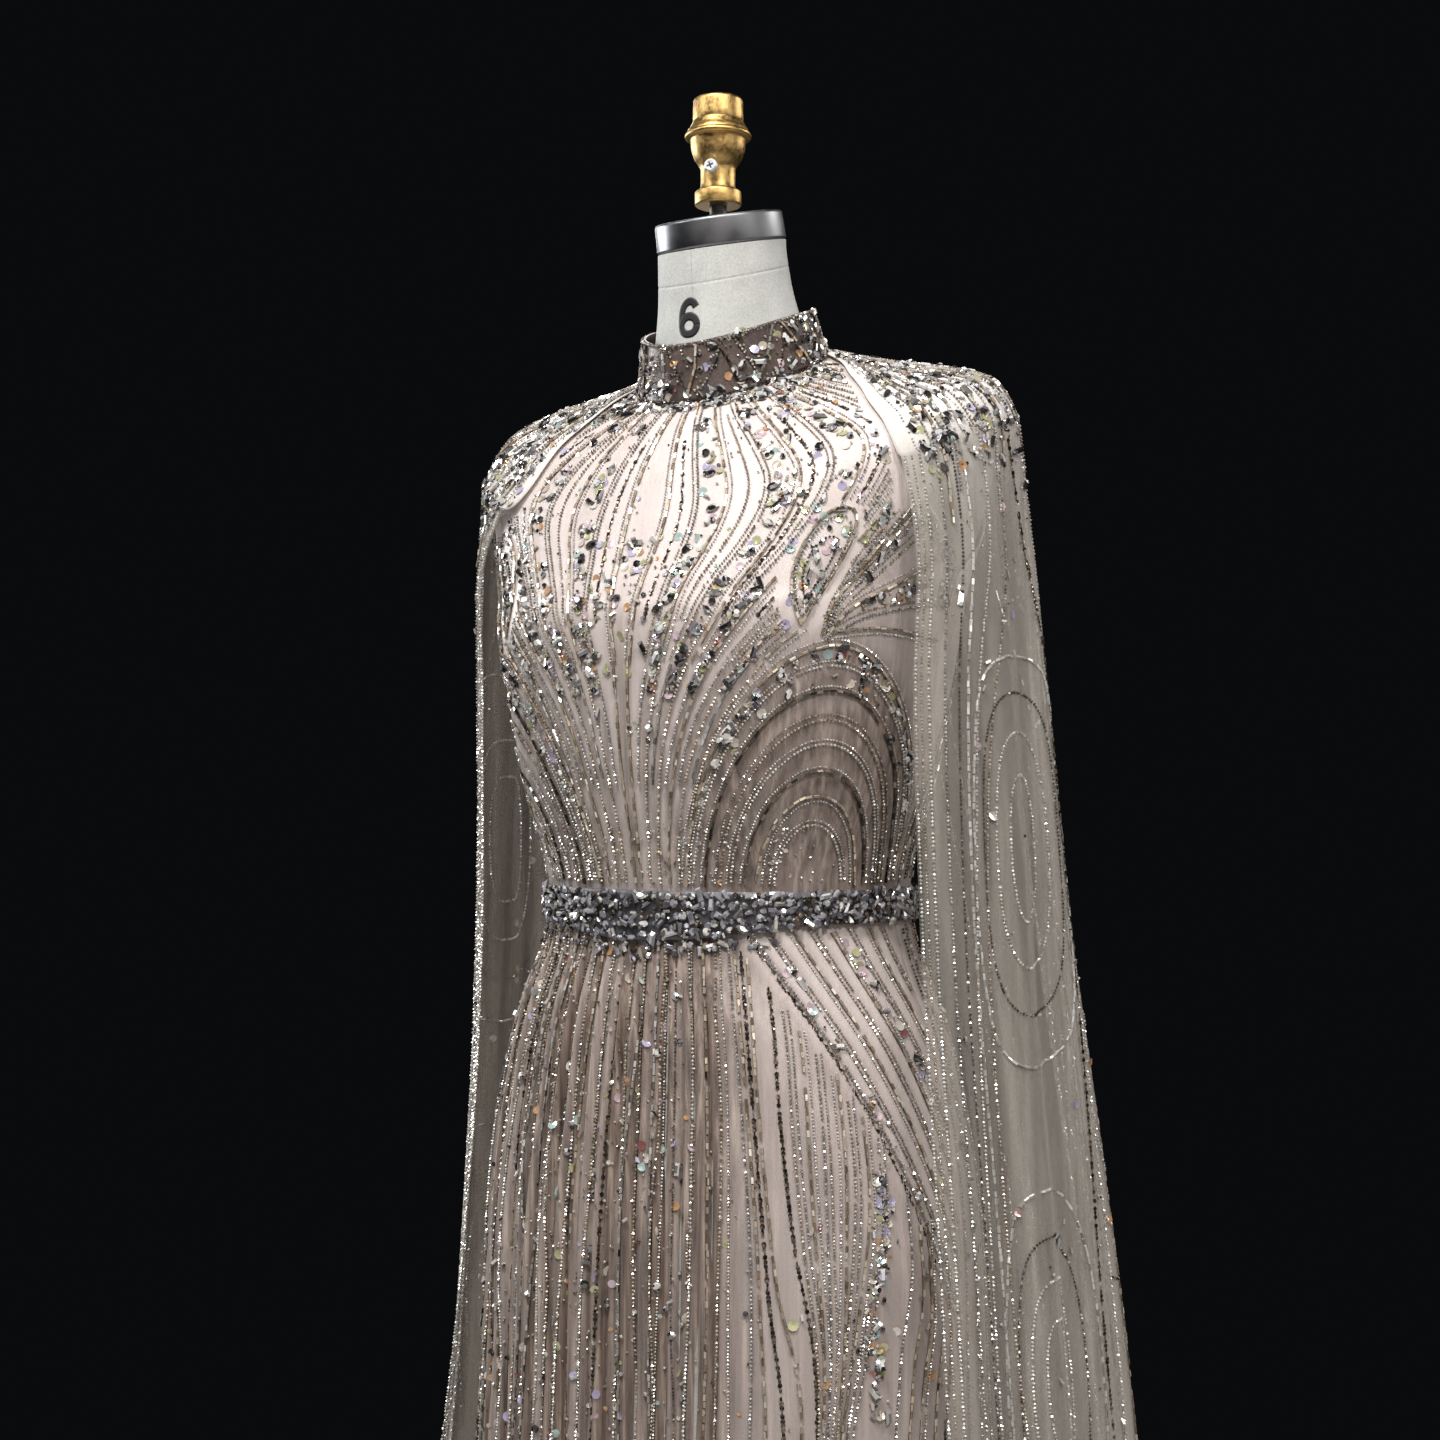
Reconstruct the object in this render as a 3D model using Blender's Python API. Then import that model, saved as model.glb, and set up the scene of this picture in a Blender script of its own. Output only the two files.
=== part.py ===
"""An evening gown with a stand collar and two cape sleeves, worn on a limbless dress form.

Metres, +Z up. The origin is on the floor under the middle of the stand. The front faces -Y and the wearer's
left is +X. Angles round the figure start at the front and grow towards the wearer's left.
"""

import math

import bmesh
import bpy
from mathutils import Vector

# Clearances and walls
SEAM = 0.0003
CLOTH = 0.0012
CAPE_CLOTH = 0.0010
COLLAR_CLOTH = 0.0016
BELT_CLOTH = 0.0016
FORM_GAP = 0.0009
SHOULDER_SPARE, NECK_SPARE = 0.0022, 0.0016

# Heights
HEM_Z = 0.012
TORSO_BOTTOM_Z = 0.720
NECK_TOP_Z = 1.514
ZIP_END_Z = 0.900
ZIP_HALF_WIDTH = 0.0030

# The gown's outer surface as rings, from the neck seam over the shoulders and down to the hem. Each ring is a
# superellipse; its height runs smoothly from front through side to back.
RING_COLUMNS = ("half_width", "front", "back", "centre_y", "squareness", "z_front", "z_side", "z_back")
RINGS = (
    # neck seam
    (0.067, 0.062, 0.060, 0.010, 2.00, 1.397, 1.427, 1.452),
    # yoke
    (0.100, 0.082, 0.074, 0.012, 2.02, 1.376, 1.421, 1.437),
    # middle of the shoulder
    (0.144, 0.101, 0.084, 0.016, 2.05, 1.350, 1.414, 1.413),
    # shoulder tip
    (0.184, 0.119, 0.087, 0.024, 2.05, 1.324, 1.404, 1.387),
    # widest point of the padded shoulder
    (0.197, 0.130, 0.089, 0.027, 2.05, 1.305, 1.383, 1.362),
    # middle of the armhole
    (0.189, 0.137, 0.093, 0.025, 2.10, 1.286, 1.335, 1.328),
    # bottom of the armhole
    (0.170, 0.138, 0.101, 0.016, 2.25, 1.266, 1.278, 1.284),
    # fullest part of the chest
    (0.162, 0.137, 0.107, 0.010, 2.35, 1.240, 1.240, 1.240),
    # ribs
    (0.149, 0.127, 0.106, 0.007, 2.25, 1.160, 1.160, 1.160),
    # waist seam
    (0.128, 0.108, 0.104, 0.005, 2.10, 1.060, 1.060, 1.060),
    # high hip
    (0.157, 0.120, 0.124, 0.006, 2.10, 0.965, 0.965, 0.965),
    # hip
    (0.174, 0.130, 0.140, 0.006, 2.10, 0.860, 0.860, 0.860),
    # thigh
    (0.179, 0.136, 0.148, 0.006, 2.10, 0.700, 0.700, 0.700),
    # knee
    (0.194, 0.155, 0.164, 0.006, 2.05, 0.470, 0.470, 0.470),
    # calf
    (0.232, 0.200, 0.206, 0.006, 2.00, 0.230, 0.230, 0.230),
    # hem
    (0.272, 0.248, 0.252, 0.006, 2.00, 0.012, 0.012, 0.012),
)
NECK_ROW, SHOULDER_ROW, ARMPIT_ROW, CHEST_ROW, WAIST_ROW, HEM_ROW = 0, 3, 6, 7, 9, 15

# The armhole, ring by ring: the angles from the front where the front bodice and the back bodice stop
ARMHOLE = (
    # front edge, back edge
    (90, 90),
    (90, 90),
    (90, 90),
    (90, 90),
    (62, 121),
    (66, 124),
    (90, 90),
)

# The capes below the shoulders, as rings about the figure's axis. The right cape hangs flatter in front.
CAPE_COLUMNS = RING_COLUMNS + ("front_right", "fold")
CAPE_RINGS = (
    # over the shoulder's end
    (0.2020, 0.136, 0.097, 0.027, 2.10, 1.310, 1.379, 1.364, 0.136, 0.0000),
    # upper arm
    (0.2040, 0.142, 0.112, 0.026, 2.35, 1.250, 1.300, 1.290, 0.134, 0.0010),
    # chest
    (0.2110, 0.148, 0.128, 0.026, 2.50, 1.180, 1.200, 1.200, 0.116, 0.0035),
    # waist
    (0.2210, 0.158, 0.148, 0.036, 2.60, 1.030, 1.030, 1.030, 0.108, 0.0060),
    # hip
    (0.2340, 0.168, 0.170, 0.045, 2.60, 0.860, 0.860, 0.860, 0.118, 0.0080),
    # thigh
    (0.2470, 0.182, 0.195, 0.050, 2.60, 0.680, 0.680, 0.680, 0.140, 0.0100),
    # knee
    (0.2700, 0.212, 0.225, 0.045, 2.35, 0.440, 0.440, 0.440, 0.190, 0.0120),
    # calf
    (0.2980, 0.248, 0.250, 0.032, 2.15, 0.210, 0.210, 0.210, 0.235, 0.0140),
    # hem
    (0.3260, 0.285, 0.280, 0.024, 2.10, 0.030, 0.030, 0.030, 0.275, 0.0150),
)
# Where the capes' free edges run, in degrees from the front, for the bodice's rings and then the capes' own
CAPE_EDGES = (
    # left cape's front edge, right cape's front edge, back edges
    (112, 84, 172),
    (80, 54, 172),
    (62, 42, 172),
    (54, 36, 172),
    (54, 40, 172),
    (58, 53, 171),
    (56, 59, 168),
    (54, 61, 164),
    (53, 62, 162),
    (53, 64, 162),
    (57, 64, 163),
    (62, 64, 164),
    (64, 65, 165),
)
CAPE_LIFT = 0.0032
CAPE_START = 0.05
CAPE_FOLDS = 5.5
CAPE_FOLD_COLUMNS = 22
CAPE_EDGE_TURN = 0.008
CAPE_EDGE_TURN_ANGLE = 9

# Gathers below the belt, at the front, and one slanting fold on the left hip
GATHER_FROM, GATHER_TO, GATHER_COUNT = -72, 14, 16
GATHER_TOP_Z, GATHER_FULL_Z = 1.040, 1.000
GATHER_DEPTH, GATHER_DEPTH_AT_HEM = 0.0026, 0.0060
SLANT_TOP, SLANT_BOTTOM = (22, 1.020), (74, 0.800)
SLANT_DEPTH, SLANT_WIDTH = 0.0045, 9

# Stand collar
COLLAR_TOP = (0.0600, 0.057, 0.053, 0.005, 2.00, 1.438, 1.463, 1.474)
COLLAR_RAISE = 0.0009
COLLAR_STUD_RAISE = 0.0012
COLLAR_STUD_ROWS, COLLAR_STUDS_ROUND = 4, 40

# Crystal belt
BELT_TOP_Z = 1.0735
BELT_BOTTOM_SIDE_Z, BELT_BOTTOM_FRONT_Z = 1.0500, 1.0360
BELT_DIP_ANGLE = 60
BELT_LIFT = 0.0026
BELT_STONE_RAISE = 0.0022
BELT_STONES_ROUND, BELT_STONE_ROWS = 44, 4

# Neck of the dress form above the neck seam, tilted forward
NECK_RINGS = (
    # height at the axis, radius, centre_y
    (1.452, 0.0520, 0.006),
    (1.478, 0.0470, 0.001),
    (1.502, 0.0448, -0.003),
    (1.514, 0.0444, -0.004),
)
NECK_TILT = math.radians(14)
NECK_CAP_RADIUS, NECK_CAP_HEIGHT, NECK_CAP_ROUND = 0.0450, 0.0200, 0.0025

# Finial over the neck, as turned steps
FINIAL_FOOT_Z = 1.5420
FINIAL_PROFILE = (
    # height from its foot, radius
    (0.0000, 0.0140),
    (0.0010, 0.0160),
    (0.0090, 0.0163),
    (0.0100, 0.0150),
    (0.0115, 0.0123),
    (0.0250, 0.0123),
    (0.0262, 0.0151),
    (0.0380, 0.0178),
    (0.0470, 0.0197),
    (0.0482, 0.0232),
    (0.0500, 0.0239),
    (0.0519, 0.0226),
    (0.0538, 0.0239),
    (0.0556, 0.0232),
    (0.0566, 0.0194),
    (0.0720, 0.0194),
    (0.0738, 0.0174),
    (0.0756, 0.0100),
)
FINIAL_SCREW_HEIGHT, FINIAL_SCREW_START = 0.0230, 0.0127
SCREW_SHANK_RADIUS, SCREW_SHANK_LENGTH = 0.0018, 0.0040
SCREW_HEAD_RADIUS, SCREW_HEAD_LENGTH = 0.0046, 0.0052
FINIAL_SCREW_ANGLE = math.radians(17)
ROD_RADIUS = 0.0060

# Stand under the torso
POLE_RADIUS = 0.0160
BASE_RADIUS, BASE_HEIGHT, BASE_BEVEL = 0.1900, 0.0150, 0.0040
HUB_RADIUS, HUB_HEIGHT = 0.0300, 0.0450
BASE_RISE, HUB_FOOT = 0.001, 0.006

SMOOTH_ANGLE = math.radians(35)
ROUND_SIDES, TORSO_SIDES, BASE_SIDES = 20, 32, 36
SIDE, BACK = 90, 180
STEP = 1e-3

# The broad folds of the skirt's back panels: how deep, how many across each panel, and where they run out
BACK_FOLD_DEPTH, BACK_FOLDS = 0.010, 2
BACK_FOLD_TOP_Z, BACK_FOLD_FULL_Z, BACK_FOLD_EASE_ANGLE = 0.95, 0.10, 15


# ---------------------------------------------------------------- tables and surfaces

def along(table, position):
    """A table's columns at a fractional row, on a smooth curve through its rows."""
    last = len(table) - 1
    position = min(max(position, 0.0), float(last))
    row = min(int(position), last - 1)
    t = position - row
    before, here, there, after = (table[min(max(row + k, 0), last)] for k in (-1, 0, 1, 2))
    return [
        0.5 * (2 * b + (c - a) * t + (2 * a - 5 * b + 4 * c - d) * t * t + (3 * b - a - 3 * c + d) * t ** 3)
        for a, b, c, d in zip(before, here, there, after)
    ]


def signed_power(value, power):
    return math.copysign(abs(value) ** power, value)


def ring_point(ring, angle):
    """A point of one ring; angle in degrees, 0 at the front and 90 at the wearer's left."""
    half_width, front, back, centre_y, squareness, z_front, z_side, z_back = ring[:8]
    s, c = math.sin(math.radians(angle)), math.cos(math.radians(angle))
    power = 2.0 / squareness
    depth = front if c > 0 else back
    tilt, bow = (z_front - z_back) / 2, (z_front + z_back) / 2 - z_side
    return Vector((
        half_width * signed_power(s, power),
        centre_y - depth * signed_power(c, power),
        z_side + tilt * c + bow * c * c,
    ))


def figure(angle, row):
    """The gown's outer surface without its gathers."""
    return ring_point(along(RINGS, row), angle)


def surface_normal(surface, angle, row):
    """The unit normal that points away from the figure."""
    round_step = surface(angle + STEP * 100, row) - surface(angle - STEP * 100, row)
    down_step = surface(angle, row + STEP) - surface(angle, row - STEP)
    return down_step.cross(round_step).normalized()


def row_at(z):
    """The row of RINGS at a height at or below the chest."""
    low, high = float(CHEST_ROW), float(HEM_ROW)
    for _ in range(40):
        middle = (low + high) / 2
        if along(RINGS, middle)[6] > z:
            low = middle
        else:
            high = middle
    return (low + high) / 2


def ease(value, start, end):
    """0 before start and 1 after end, with a smooth run between them."""
    t = min(max((value - start) / (end - start), 0.0), 1.0)
    return t * t * (3 - 2 * t)


def gathers(angle, row):
    """How far the skirt's gathers stand out from the figure."""
    z = figure(angle, row).z
    start = ease(z, GATHER_TOP_Z, GATHER_FULL_Z)
    depth = GATHER_DEPTH + (GATHER_DEPTH_AT_HEM - GATHER_DEPTH) * ease(z, GATHER_FULL_Z, HEM_Z)
    turn = (angle - GATHER_FROM) / (GATHER_TO - GATHER_FROM)
    lift = 0.0
    if 0 < turn < 1:
        strength = min(1.0, 6 * turn, 6 * (1 - turn))
        lift += depth * strength * (0.5 - 0.5 * math.cos(math.tau * GATHER_COUNT * turn))
    run = (z - SLANT_TOP[1]) / (SLANT_BOTTOM[1] - SLANT_TOP[1])
    centre = SLANT_TOP[0] + (SLANT_BOTTOM[0] - SLANT_TOP[0]) * run
    fade = ease(run, -0.1, 0.15) * (1 - ease(run, 0.8, 1.6))
    lift += SLANT_DEPTH * fade * math.exp(-((angle - centre) / SLANT_WIDTH) ** 2)
    return start * lift


def back_folds(angle, row):
    """The broad, soft folds of the skirt's back panels."""
    z = figure(angle, row).z
    wave = 0.5 - 0.5 * math.cos(math.tau * BACK_FOLDS * (BACK - abs(angle)) / (BACK - SIDE))
    beside_seam = ease(abs(angle), SIDE, SIDE + BACK_FOLD_EASE_ANGLE)
    return BACK_FOLD_DEPTH * ease(z, BACK_FOLD_TOP_Z, BACK_FOLD_FULL_Z) * wave * beside_seam


# ---------------------------------------------------------------- mesh building

def material(name, colour, roughness, metallic=0.0):
    made = bpy.data.materials.new(name)
    made.use_nodes = True
    shader = made.node_tree.nodes["Principled BSDF"]
    shader.inputs["Base Color"].default_value = (*colour, 1.0)
    shader.inputs["Roughness"].default_value = roughness
    shader.inputs["Metallic"].default_value = metallic
    return made


def finished(name, mesh, finish):
    """A mesh as an object, with its faces pointing out and its round faces smooth."""
    bmesh.ops.triangulate(mesh, faces=mesh.faces)
    bmesh.ops.recalc_face_normals(mesh, faces=mesh.faces)
    data = bpy.data.meshes.new(name)
    mesh.to_mesh(data)
    mesh.free()
    data.shade_smooth()
    data.set_sharp_from_angle(angle=SMOOTH_ANGLE)
    data.materials.append(finish)
    made = bpy.data.objects.new(name, data)
    bpy.context.scene.collection.objects.link(made)
    return made


def closed_grid(mesh, outer, inner):
    """Joins two grids of points into one wall, with its four edges closed."""
    layers = [[[mesh.verts.new(p) for p in line] for line in grid] for grid in (outer, inner)]
    outside, inside = layers
    rows, columns = len(outer), len(outer[0])
    for i in range(rows - 1):
        for j in range(columns - 1):
            mesh.faces.new((outside[i][j], outside[i][j + 1], outside[i + 1][j + 1], outside[i + 1][j]))
            mesh.faces.new((inside[i][j], inside[i + 1][j], inside[i + 1][j + 1], inside[i][j + 1]))
    for i in range(rows - 1):
        for j in (0, columns - 1):
            mesh.faces.new((outside[i][j], outside[i + 1][j], inside[i + 1][j], inside[i][j]))
    for j in range(columns - 1):
        for i in (0, rows - 1):
            mesh.faces.new((outside[i][j], outside[i][j + 1], inside[i][j + 1], inside[i][j]))


def cloth_wall(name, surface, angles_at, rows, thickness, finish, lift=None, plain_inside=False):
    """A wall of cloth on a surface. angles_at gives each row's angles, lift how far a point stands out."""
    outer, inner = [], []
    for row in rows:
        outer_line, inner_line = [], []
        for angle in angles_at(row):
            point = surface(angle, row)
            normal = surface_normal(surface, angle, row)
            raised = lift(angle, row) if lift else 0.0
            outer_line.append(point + normal * raised)
            inner_line.append(point + normal * ((0.0 if plain_inside else raised) - thickness))
        outer.append(outer_line)
        inner.append(inner_line)
    mesh = bmesh.new()
    closed_grid(mesh, outer, inner)
    return finished(name, mesh, finish)


def lofted(name, rings, finish):
    """A solid through rings with the same number of points, closed by a flat face at each end."""
    mesh = bmesh.new()
    made = [[mesh.verts.new(p) for p in ring] for ring in rings]
    for upper, lower in zip(made, made[1:]):
        for k in range(len(upper)):
            following = (k + 1) % len(upper)
            mesh.faces.new((upper[k], upper[following], lower[following], lower[k]))
    mesh.faces.new(made[0])
    mesh.faces.new(made[-1])
    return finished(name, mesh, finish)


def turned(name, profile, finish, sides=ROUND_SIDES):
    """A solid turned about +Z from (height, radius) pairs."""
    rings = [
        [Vector((radius * math.cos(k * math.tau / sides), radius * math.sin(k * math.tau / sides), height))
         for k in range(sides)]
        for height, radius in profile
    ]
    return lofted(name, rings, finish)


def spread(start, end, count):
    """count + 1 even steps from start to end."""
    return [start + (end - start) * k / count for k in range(count + 1)]


def angle_for(surface, angle, row, reach):
    """How far round the figure a straight reach goes from an angle."""
    start = surface(angle, row)
    low, high = 0.0, 10.0
    for _ in range(24):
        middle = (low + high) / 2
        if (surface(angle + middle, row) - start).length < reach:
            low = middle
        else:
            high = middle
    return high


def seam_angle(surface, angle, row):
    """Half of a seam's gap, as an angle round the figure."""
    return angle_for(surface, angle, row, SEAM / 2)


def seam_row(angle, row):
    """Half of a seam's gap, as a part of a row."""
    return SEAM / 2 / (figure(angle, row + 0.05) - figure(angle, row - 0.05)).length * 0.1


# ---------------------------------------------------------------- the gown

SHOULDER_ROWS = spread(NECK_ROW, SHOULDER_ROW, 6) + [3.3, 3.6, 4.0, 4.5, 5.0]
BODICE_ROWS = SHOULDER_ROWS + [5.35, 5.7, ARMPIT_ROW, 6.5, CHEST_ROW, 7.5, 8.0, 8.4, 8.75]
BELT_ROWS = [9.12, 9.25]
HIP_ROWS = [9.6, 10.0, 10.5, 11.0]
SKIRT_ROWS = BELT_ROWS + HIP_ROWS + [11.8, 12.6, 13.4, 14.2, HEM_ROW]


def armhole_edges(row):
    """The angles where the front and the back bodice stop at a row."""
    if row >= ARMPIT_ROW or row <= SHOULDER_ROW:
        return SIDE, SIDE
    front_edge, back_edge = along(ARMHOLE, row)
    return front_edge, back_edge


def zip_angle(row):
    """The zip's half width as an angle round the figure."""
    return angle_for(figure, BACK, row, ZIP_HALF_WIDTH)


def make_bodice(finish):
    rows = BODICE_ROWS + [WAIST_ROW - seam_row(0, WAIST_ROW)]

    def front_angles(row):
        edge = armhole_edges(row)[0] - seam_angle(figure, SIDE, row)
        return spread(-edge, edge, 20)

    def left_angles(row):
        start = armhole_edges(row)[1] + seam_angle(figure, SIDE, row)
        end = BACK - zip_angle(row) - seam_angle(figure, BACK, row)
        return spread(start, end, 10)

    cloth_wall("bodice_front", figure, front_angles, rows, CLOTH, finish)
    cloth_wall("bodice_back_left", figure, left_angles, rows, CLOTH, finish)
    cloth_wall(
        "bodice_back_right", figure, lambda row: [-a for a in reversed(left_angles(row))], rows, CLOTH, finish
    )


def gather_angles():
    """Columns of the front skirt: one on each crest and trough of the gathers, wider apart beside them."""
    fine = spread(GATHER_FROM, GATHER_TO, 2 * GATHER_COUNT)
    return spread(-SIDE, GATHER_FROM, 4)[:-1] + fine + spread(GATHER_TO, SIDE, 13)[1:]


def make_skirt(finish):
    rows = [WAIST_ROW + seam_row(0, WAIST_ROW)] + SKIRT_ROWS
    zip_end_row = row_at(ZIP_END_Z)

    def front_angles(row):
        gap = seam_angle(figure, SIDE, row)
        angles = gather_angles()
        return [angles[0] + gap] + angles[1:-1] + [angles[-1] - gap]

    def left_angles(row):
        start = SIDE + seam_angle(figure, SIDE, row)
        beside_zip = zip_angle(row) if row <= zip_end_row else 0.0
        return spread(start, BACK - beside_zip - seam_angle(figure, BACK, row), 12)

    back_rows = sorted(rows + [zip_end_row, zip_end_row + 0.02])
    cloth_wall("skirt_front", figure, front_angles, rows, CLOTH, finish, lift=gathers)
    cloth_wall("skirt_back_left", figure, left_angles, back_rows, CLOTH, finish, lift=back_folds)
    cloth_wall(
        "skirt_back_right",
        figure,
        lambda row: [-a for a in reversed(left_angles(row))],
        back_rows,
        CLOTH,
        finish,
        lift=back_folds,
    )


def make_zip(finish):
    """A closed strip in the centre back seam, from the neck seam to below the hip."""
    end_row = row_at(ZIP_END_Z) - seam_row(BACK, HIP_ROWS[-1])
    rows = BODICE_ROWS + [WAIST_ROW] + BELT_ROWS + [row for row in HIP_ROWS if row < end_row] + [end_row]

    def angles(row):
        half = zip_angle(row) - seam_angle(figure, BACK, row)
        return [BACK - half, BACK, BACK + half]

    cloth_wall("back_zip", figure, angles, rows, CLOTH, finish)


def collar_surface(angle, down):
    """The stand collar's outer face: down is 0 at its top edge and 1 just above the neck seam."""
    top, seam = ring_point(COLLAR_TOP, angle), ring_point(RINGS[NECK_ROW], angle)
    return top.lerp(seam, down) + Vector((0, 0, COLLAR_RAISE))


def make_collar(finish):
    def angles(down):
        gap = seam_angle(collar_surface, BACK, down)
        return spread(gap - BACK, BACK - gap, COLLAR_STUDS_ROUND)

    def studs(angle, down):
        column = round((angle + BACK) / 360 * COLLAR_STUDS_ROUND)
        row = round(down * COLLAR_STUD_ROWS)
        return COLLAR_STUD_RAISE * ((column + row) % 2)

    rows = spread(0.0, 1.0, COLLAR_STUD_ROWS)
    cloth_wall("collar", collar_surface, angles, rows, COLLAR_CLOTH, finish, lift=studs, plain_inside=True)


def belt_surface(angle, down):
    """The belt's outer face: down is 0 at its top edge and 1 at its lower edge, which dips at the front."""
    dip = ease(abs(angle), BELT_DIP_ANGLE, 0)
    bottom = BELT_BOTTOM_SIDE_Z + (BELT_BOTTOM_FRONT_Z - BELT_BOTTOM_SIDE_Z) * dip
    row = row_at(BELT_TOP_Z + (bottom - BELT_TOP_Z) * down)
    return figure(angle, row) + surface_normal(figure, angle, row) * BELT_LIFT


def make_belt(finish):
    def angles(down):
        gap = seam_angle(belt_surface, BACK, down)
        return spread(gap - BACK, BACK - gap, BELT_STONES_ROUND)

    def stones(angle, down):
        column = round((angle + BACK) / 360 * BELT_STONES_ROUND)
        row = round(down * BELT_STONE_ROWS)
        return BELT_STONE_RAISE * ((column + row) % 2)

    rows = spread(0.0, 1.0, BELT_STONE_ROWS)
    cloth_wall("waist_belt", belt_surface, angles, rows, BELT_CLOTH, finish, lift=stones, plain_inside=True)


# ---------------------------------------------------------------- the capes

CAPE_ROWS = [CAPE_START] + SHOULDER_ROWS[1:] + [5.7, 6.5, 7.3, 8.1, 9.0, 10.0, 11.0, 12.0]


def cape_base(angle, row):
    """A cape without its folds: on the bodice as far as the shoulder tip, and then on its own rings."""
    body_row = min(row, SHOULDER_ROW + 1.2)
    on_body = figure(angle, body_row) + surface_normal(figure, angle, body_row) * CAPE_LIFT
    if row <= SHOULDER_ROW:
        return on_body
    ring = along(CAPE_RINGS, row - SHOULDER_ROW - 1)
    if angle < 0:
        ring[RING_COLUMNS.index("front")] = ring[CAPE_COLUMNS.index("front_right")]
    return on_body.lerp(ring_point(ring, angle), ease(row, SHOULDER_ROW, SHOULDER_ROW + 1))


def cape_edges(side, row):
    """The angles of a cape's front and back edges; side is 1 for the wearer's left and -1 for the right."""
    left_front, right_front, back = along(CAPE_EDGES, row)
    return (left_front if side > 0 else right_front), back


def cape_folds(side, phase):
    """The long folds of a cape: they deepen on the way down, and the front edge turns in a little."""
    def lift(angle, row):
        front_edge, back_edge = cape_edges(side, row)
        depth = along(CAPE_RINGS, row - SHOULDER_ROW - 1)[CAPE_COLUMNS.index("fold")]
        across = (side * angle - front_edge) / (back_edge - front_edge)
        wave = math.sin(math.tau * (CAPE_FOLDS * across ** 1.15 + phase))
        turn = 1 - ease(side * angle - front_edge, 0, CAPE_EDGE_TURN_ANGLE)
        turned_in = CAPE_EDGE_TURN * turn * ease(row, 4.5, 6.0) * (1 - ease(row, 7.5, 9.5))
        return depth * wave * ease(across, 0, 0.12) - turned_in

    return lift


def make_cape(name, side, phase, finish):
    def angles(row):
        front_edge, back_edge = cape_edges(side, row)
        across = spread(front_edge, back_edge, CAPE_FOLD_COLUMNS)
        return across if side > 0 else [-a for a in reversed(across)]

    cloth_wall(name, cape_base, angles, CAPE_ROWS, CAPE_CLOTH, finish, lift=cape_folds(side, phase))


# ---------------------------------------------------------------- the dress form and its stand

def neck_ring(z, radius, centre_y):
    """A flat ring round the neck, tipped down to the front."""
    drop = radius * math.tan(NECK_TILT)
    return (radius, radius, radius, centre_y, 2.0, z - drop, z, z + drop)


def make_torso(finish):
    angles = [k * 360 / TORSO_SIDES for k in range(TORSO_SIDES)]
    rings = [[ring_point(neck_ring(*row), a) for a in angles] for row in reversed(NECK_RINGS)]
    bottom_row = row_at(TORSO_BOTTOM_Z)
    rows = BODICE_ROWS + [WAIST_ROW] + BELT_ROWS + HIP_ROWS + [bottom_row]
    inset = CLOTH + FORM_GAP
    for row in rows:
        on_shoulder = ease(row, SHOULDER_ROW - 1, SHOULDER_ROW) * (1 - ease(row, ARMPIT_ROW - 1, CHEST_ROW))
        spare = SHOULDER_SPARE * on_shoulder + NECK_SPARE * (1 - ease(row, NECK_ROW, NECK_ROW + 1))
        rings.append([figure(a, row) - surface_normal(figure, a, row) * (inset + spare) for a in angles])
    return lofted("form_torso", rings, finish)


LEAN = Vector((0, -math.sin(NECK_TILT), math.cos(NECK_TILT)))
NECK_TOP = Vector((0, NECK_RINGS[-1][2], NECK_TOP_Z))


def make_neck_cap(finish):
    """The metal plate on the neck, in the plane of the neck's tilted top."""
    edge = NECK_CAP_ROUND
    profile = (
        (0.0, NECK_CAP_RADIUS - edge),
        (edge, NECK_CAP_RADIUS),
        (NECK_CAP_HEIGHT - 2 * edge, NECK_CAP_RADIUS),
        (NECK_CAP_HEIGHT - edge, NECK_CAP_RADIUS - 0.4 * edge),
        (NECK_CAP_HEIGHT, NECK_CAP_RADIUS - 1.6 * edge),
    )
    cap = turned("form_neck_cap", profile, finish, sides=TORSO_SIDES)
    cap.rotation_euler = (NECK_TILT, 0, 0)
    cap.location = NECK_TOP + LEAN * SEAM


def make_finial(gold, steel, dark):
    """The rod out of the neck cap, the turned finial on it and its clamping screw."""
    cap_top = NECK_TOP + LEAN * (NECK_CAP_HEIGHT + SEAM)
    rod_bottom = cap_top.z + ROD_RADIUS * math.tan(NECK_TILT) + SEAM
    rod = turned("form_rod", ((rod_bottom, ROD_RADIUS), (FINIAL_FOOT_Z - SEAM, ROD_RADIUS)), dark)
    finial = turned("form_finial", [(h + FINIAL_FOOT_Z, r) for h, r in FINIAL_PROFILE], gold)
    for piece in (rod, finial):
        piece.location = (0, cap_top.y, 0)
    head_end = SCREW_SHANK_LENGTH + SCREW_HEAD_LENGTH
    screw_profile = (
        (0.0, SCREW_SHANK_RADIUS),
        (SCREW_SHANK_LENGTH, SCREW_SHANK_RADIUS),
        (SCREW_SHANK_LENGTH + SEAM, SCREW_HEAD_RADIUS),
        (head_end - SEAM, SCREW_HEAD_RADIUS),
        (head_end, SCREW_HEAD_RADIUS - SEAM),
    )
    screw = turned("form_finial_screw", screw_profile, steel, sides=16)
    outward = Vector((math.sin(FINIAL_SCREW_ANGLE), -math.cos(FINIAL_SCREW_ANGLE), 0))
    axis = Vector((0, cap_top.y, FINIAL_FOOT_Z + FINIAL_SCREW_HEIGHT))
    screw.rotation_euler = outward.to_track_quat("Z", "Y").to_euler()
    screw.location = axis + outward * FINIAL_SCREW_START


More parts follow.
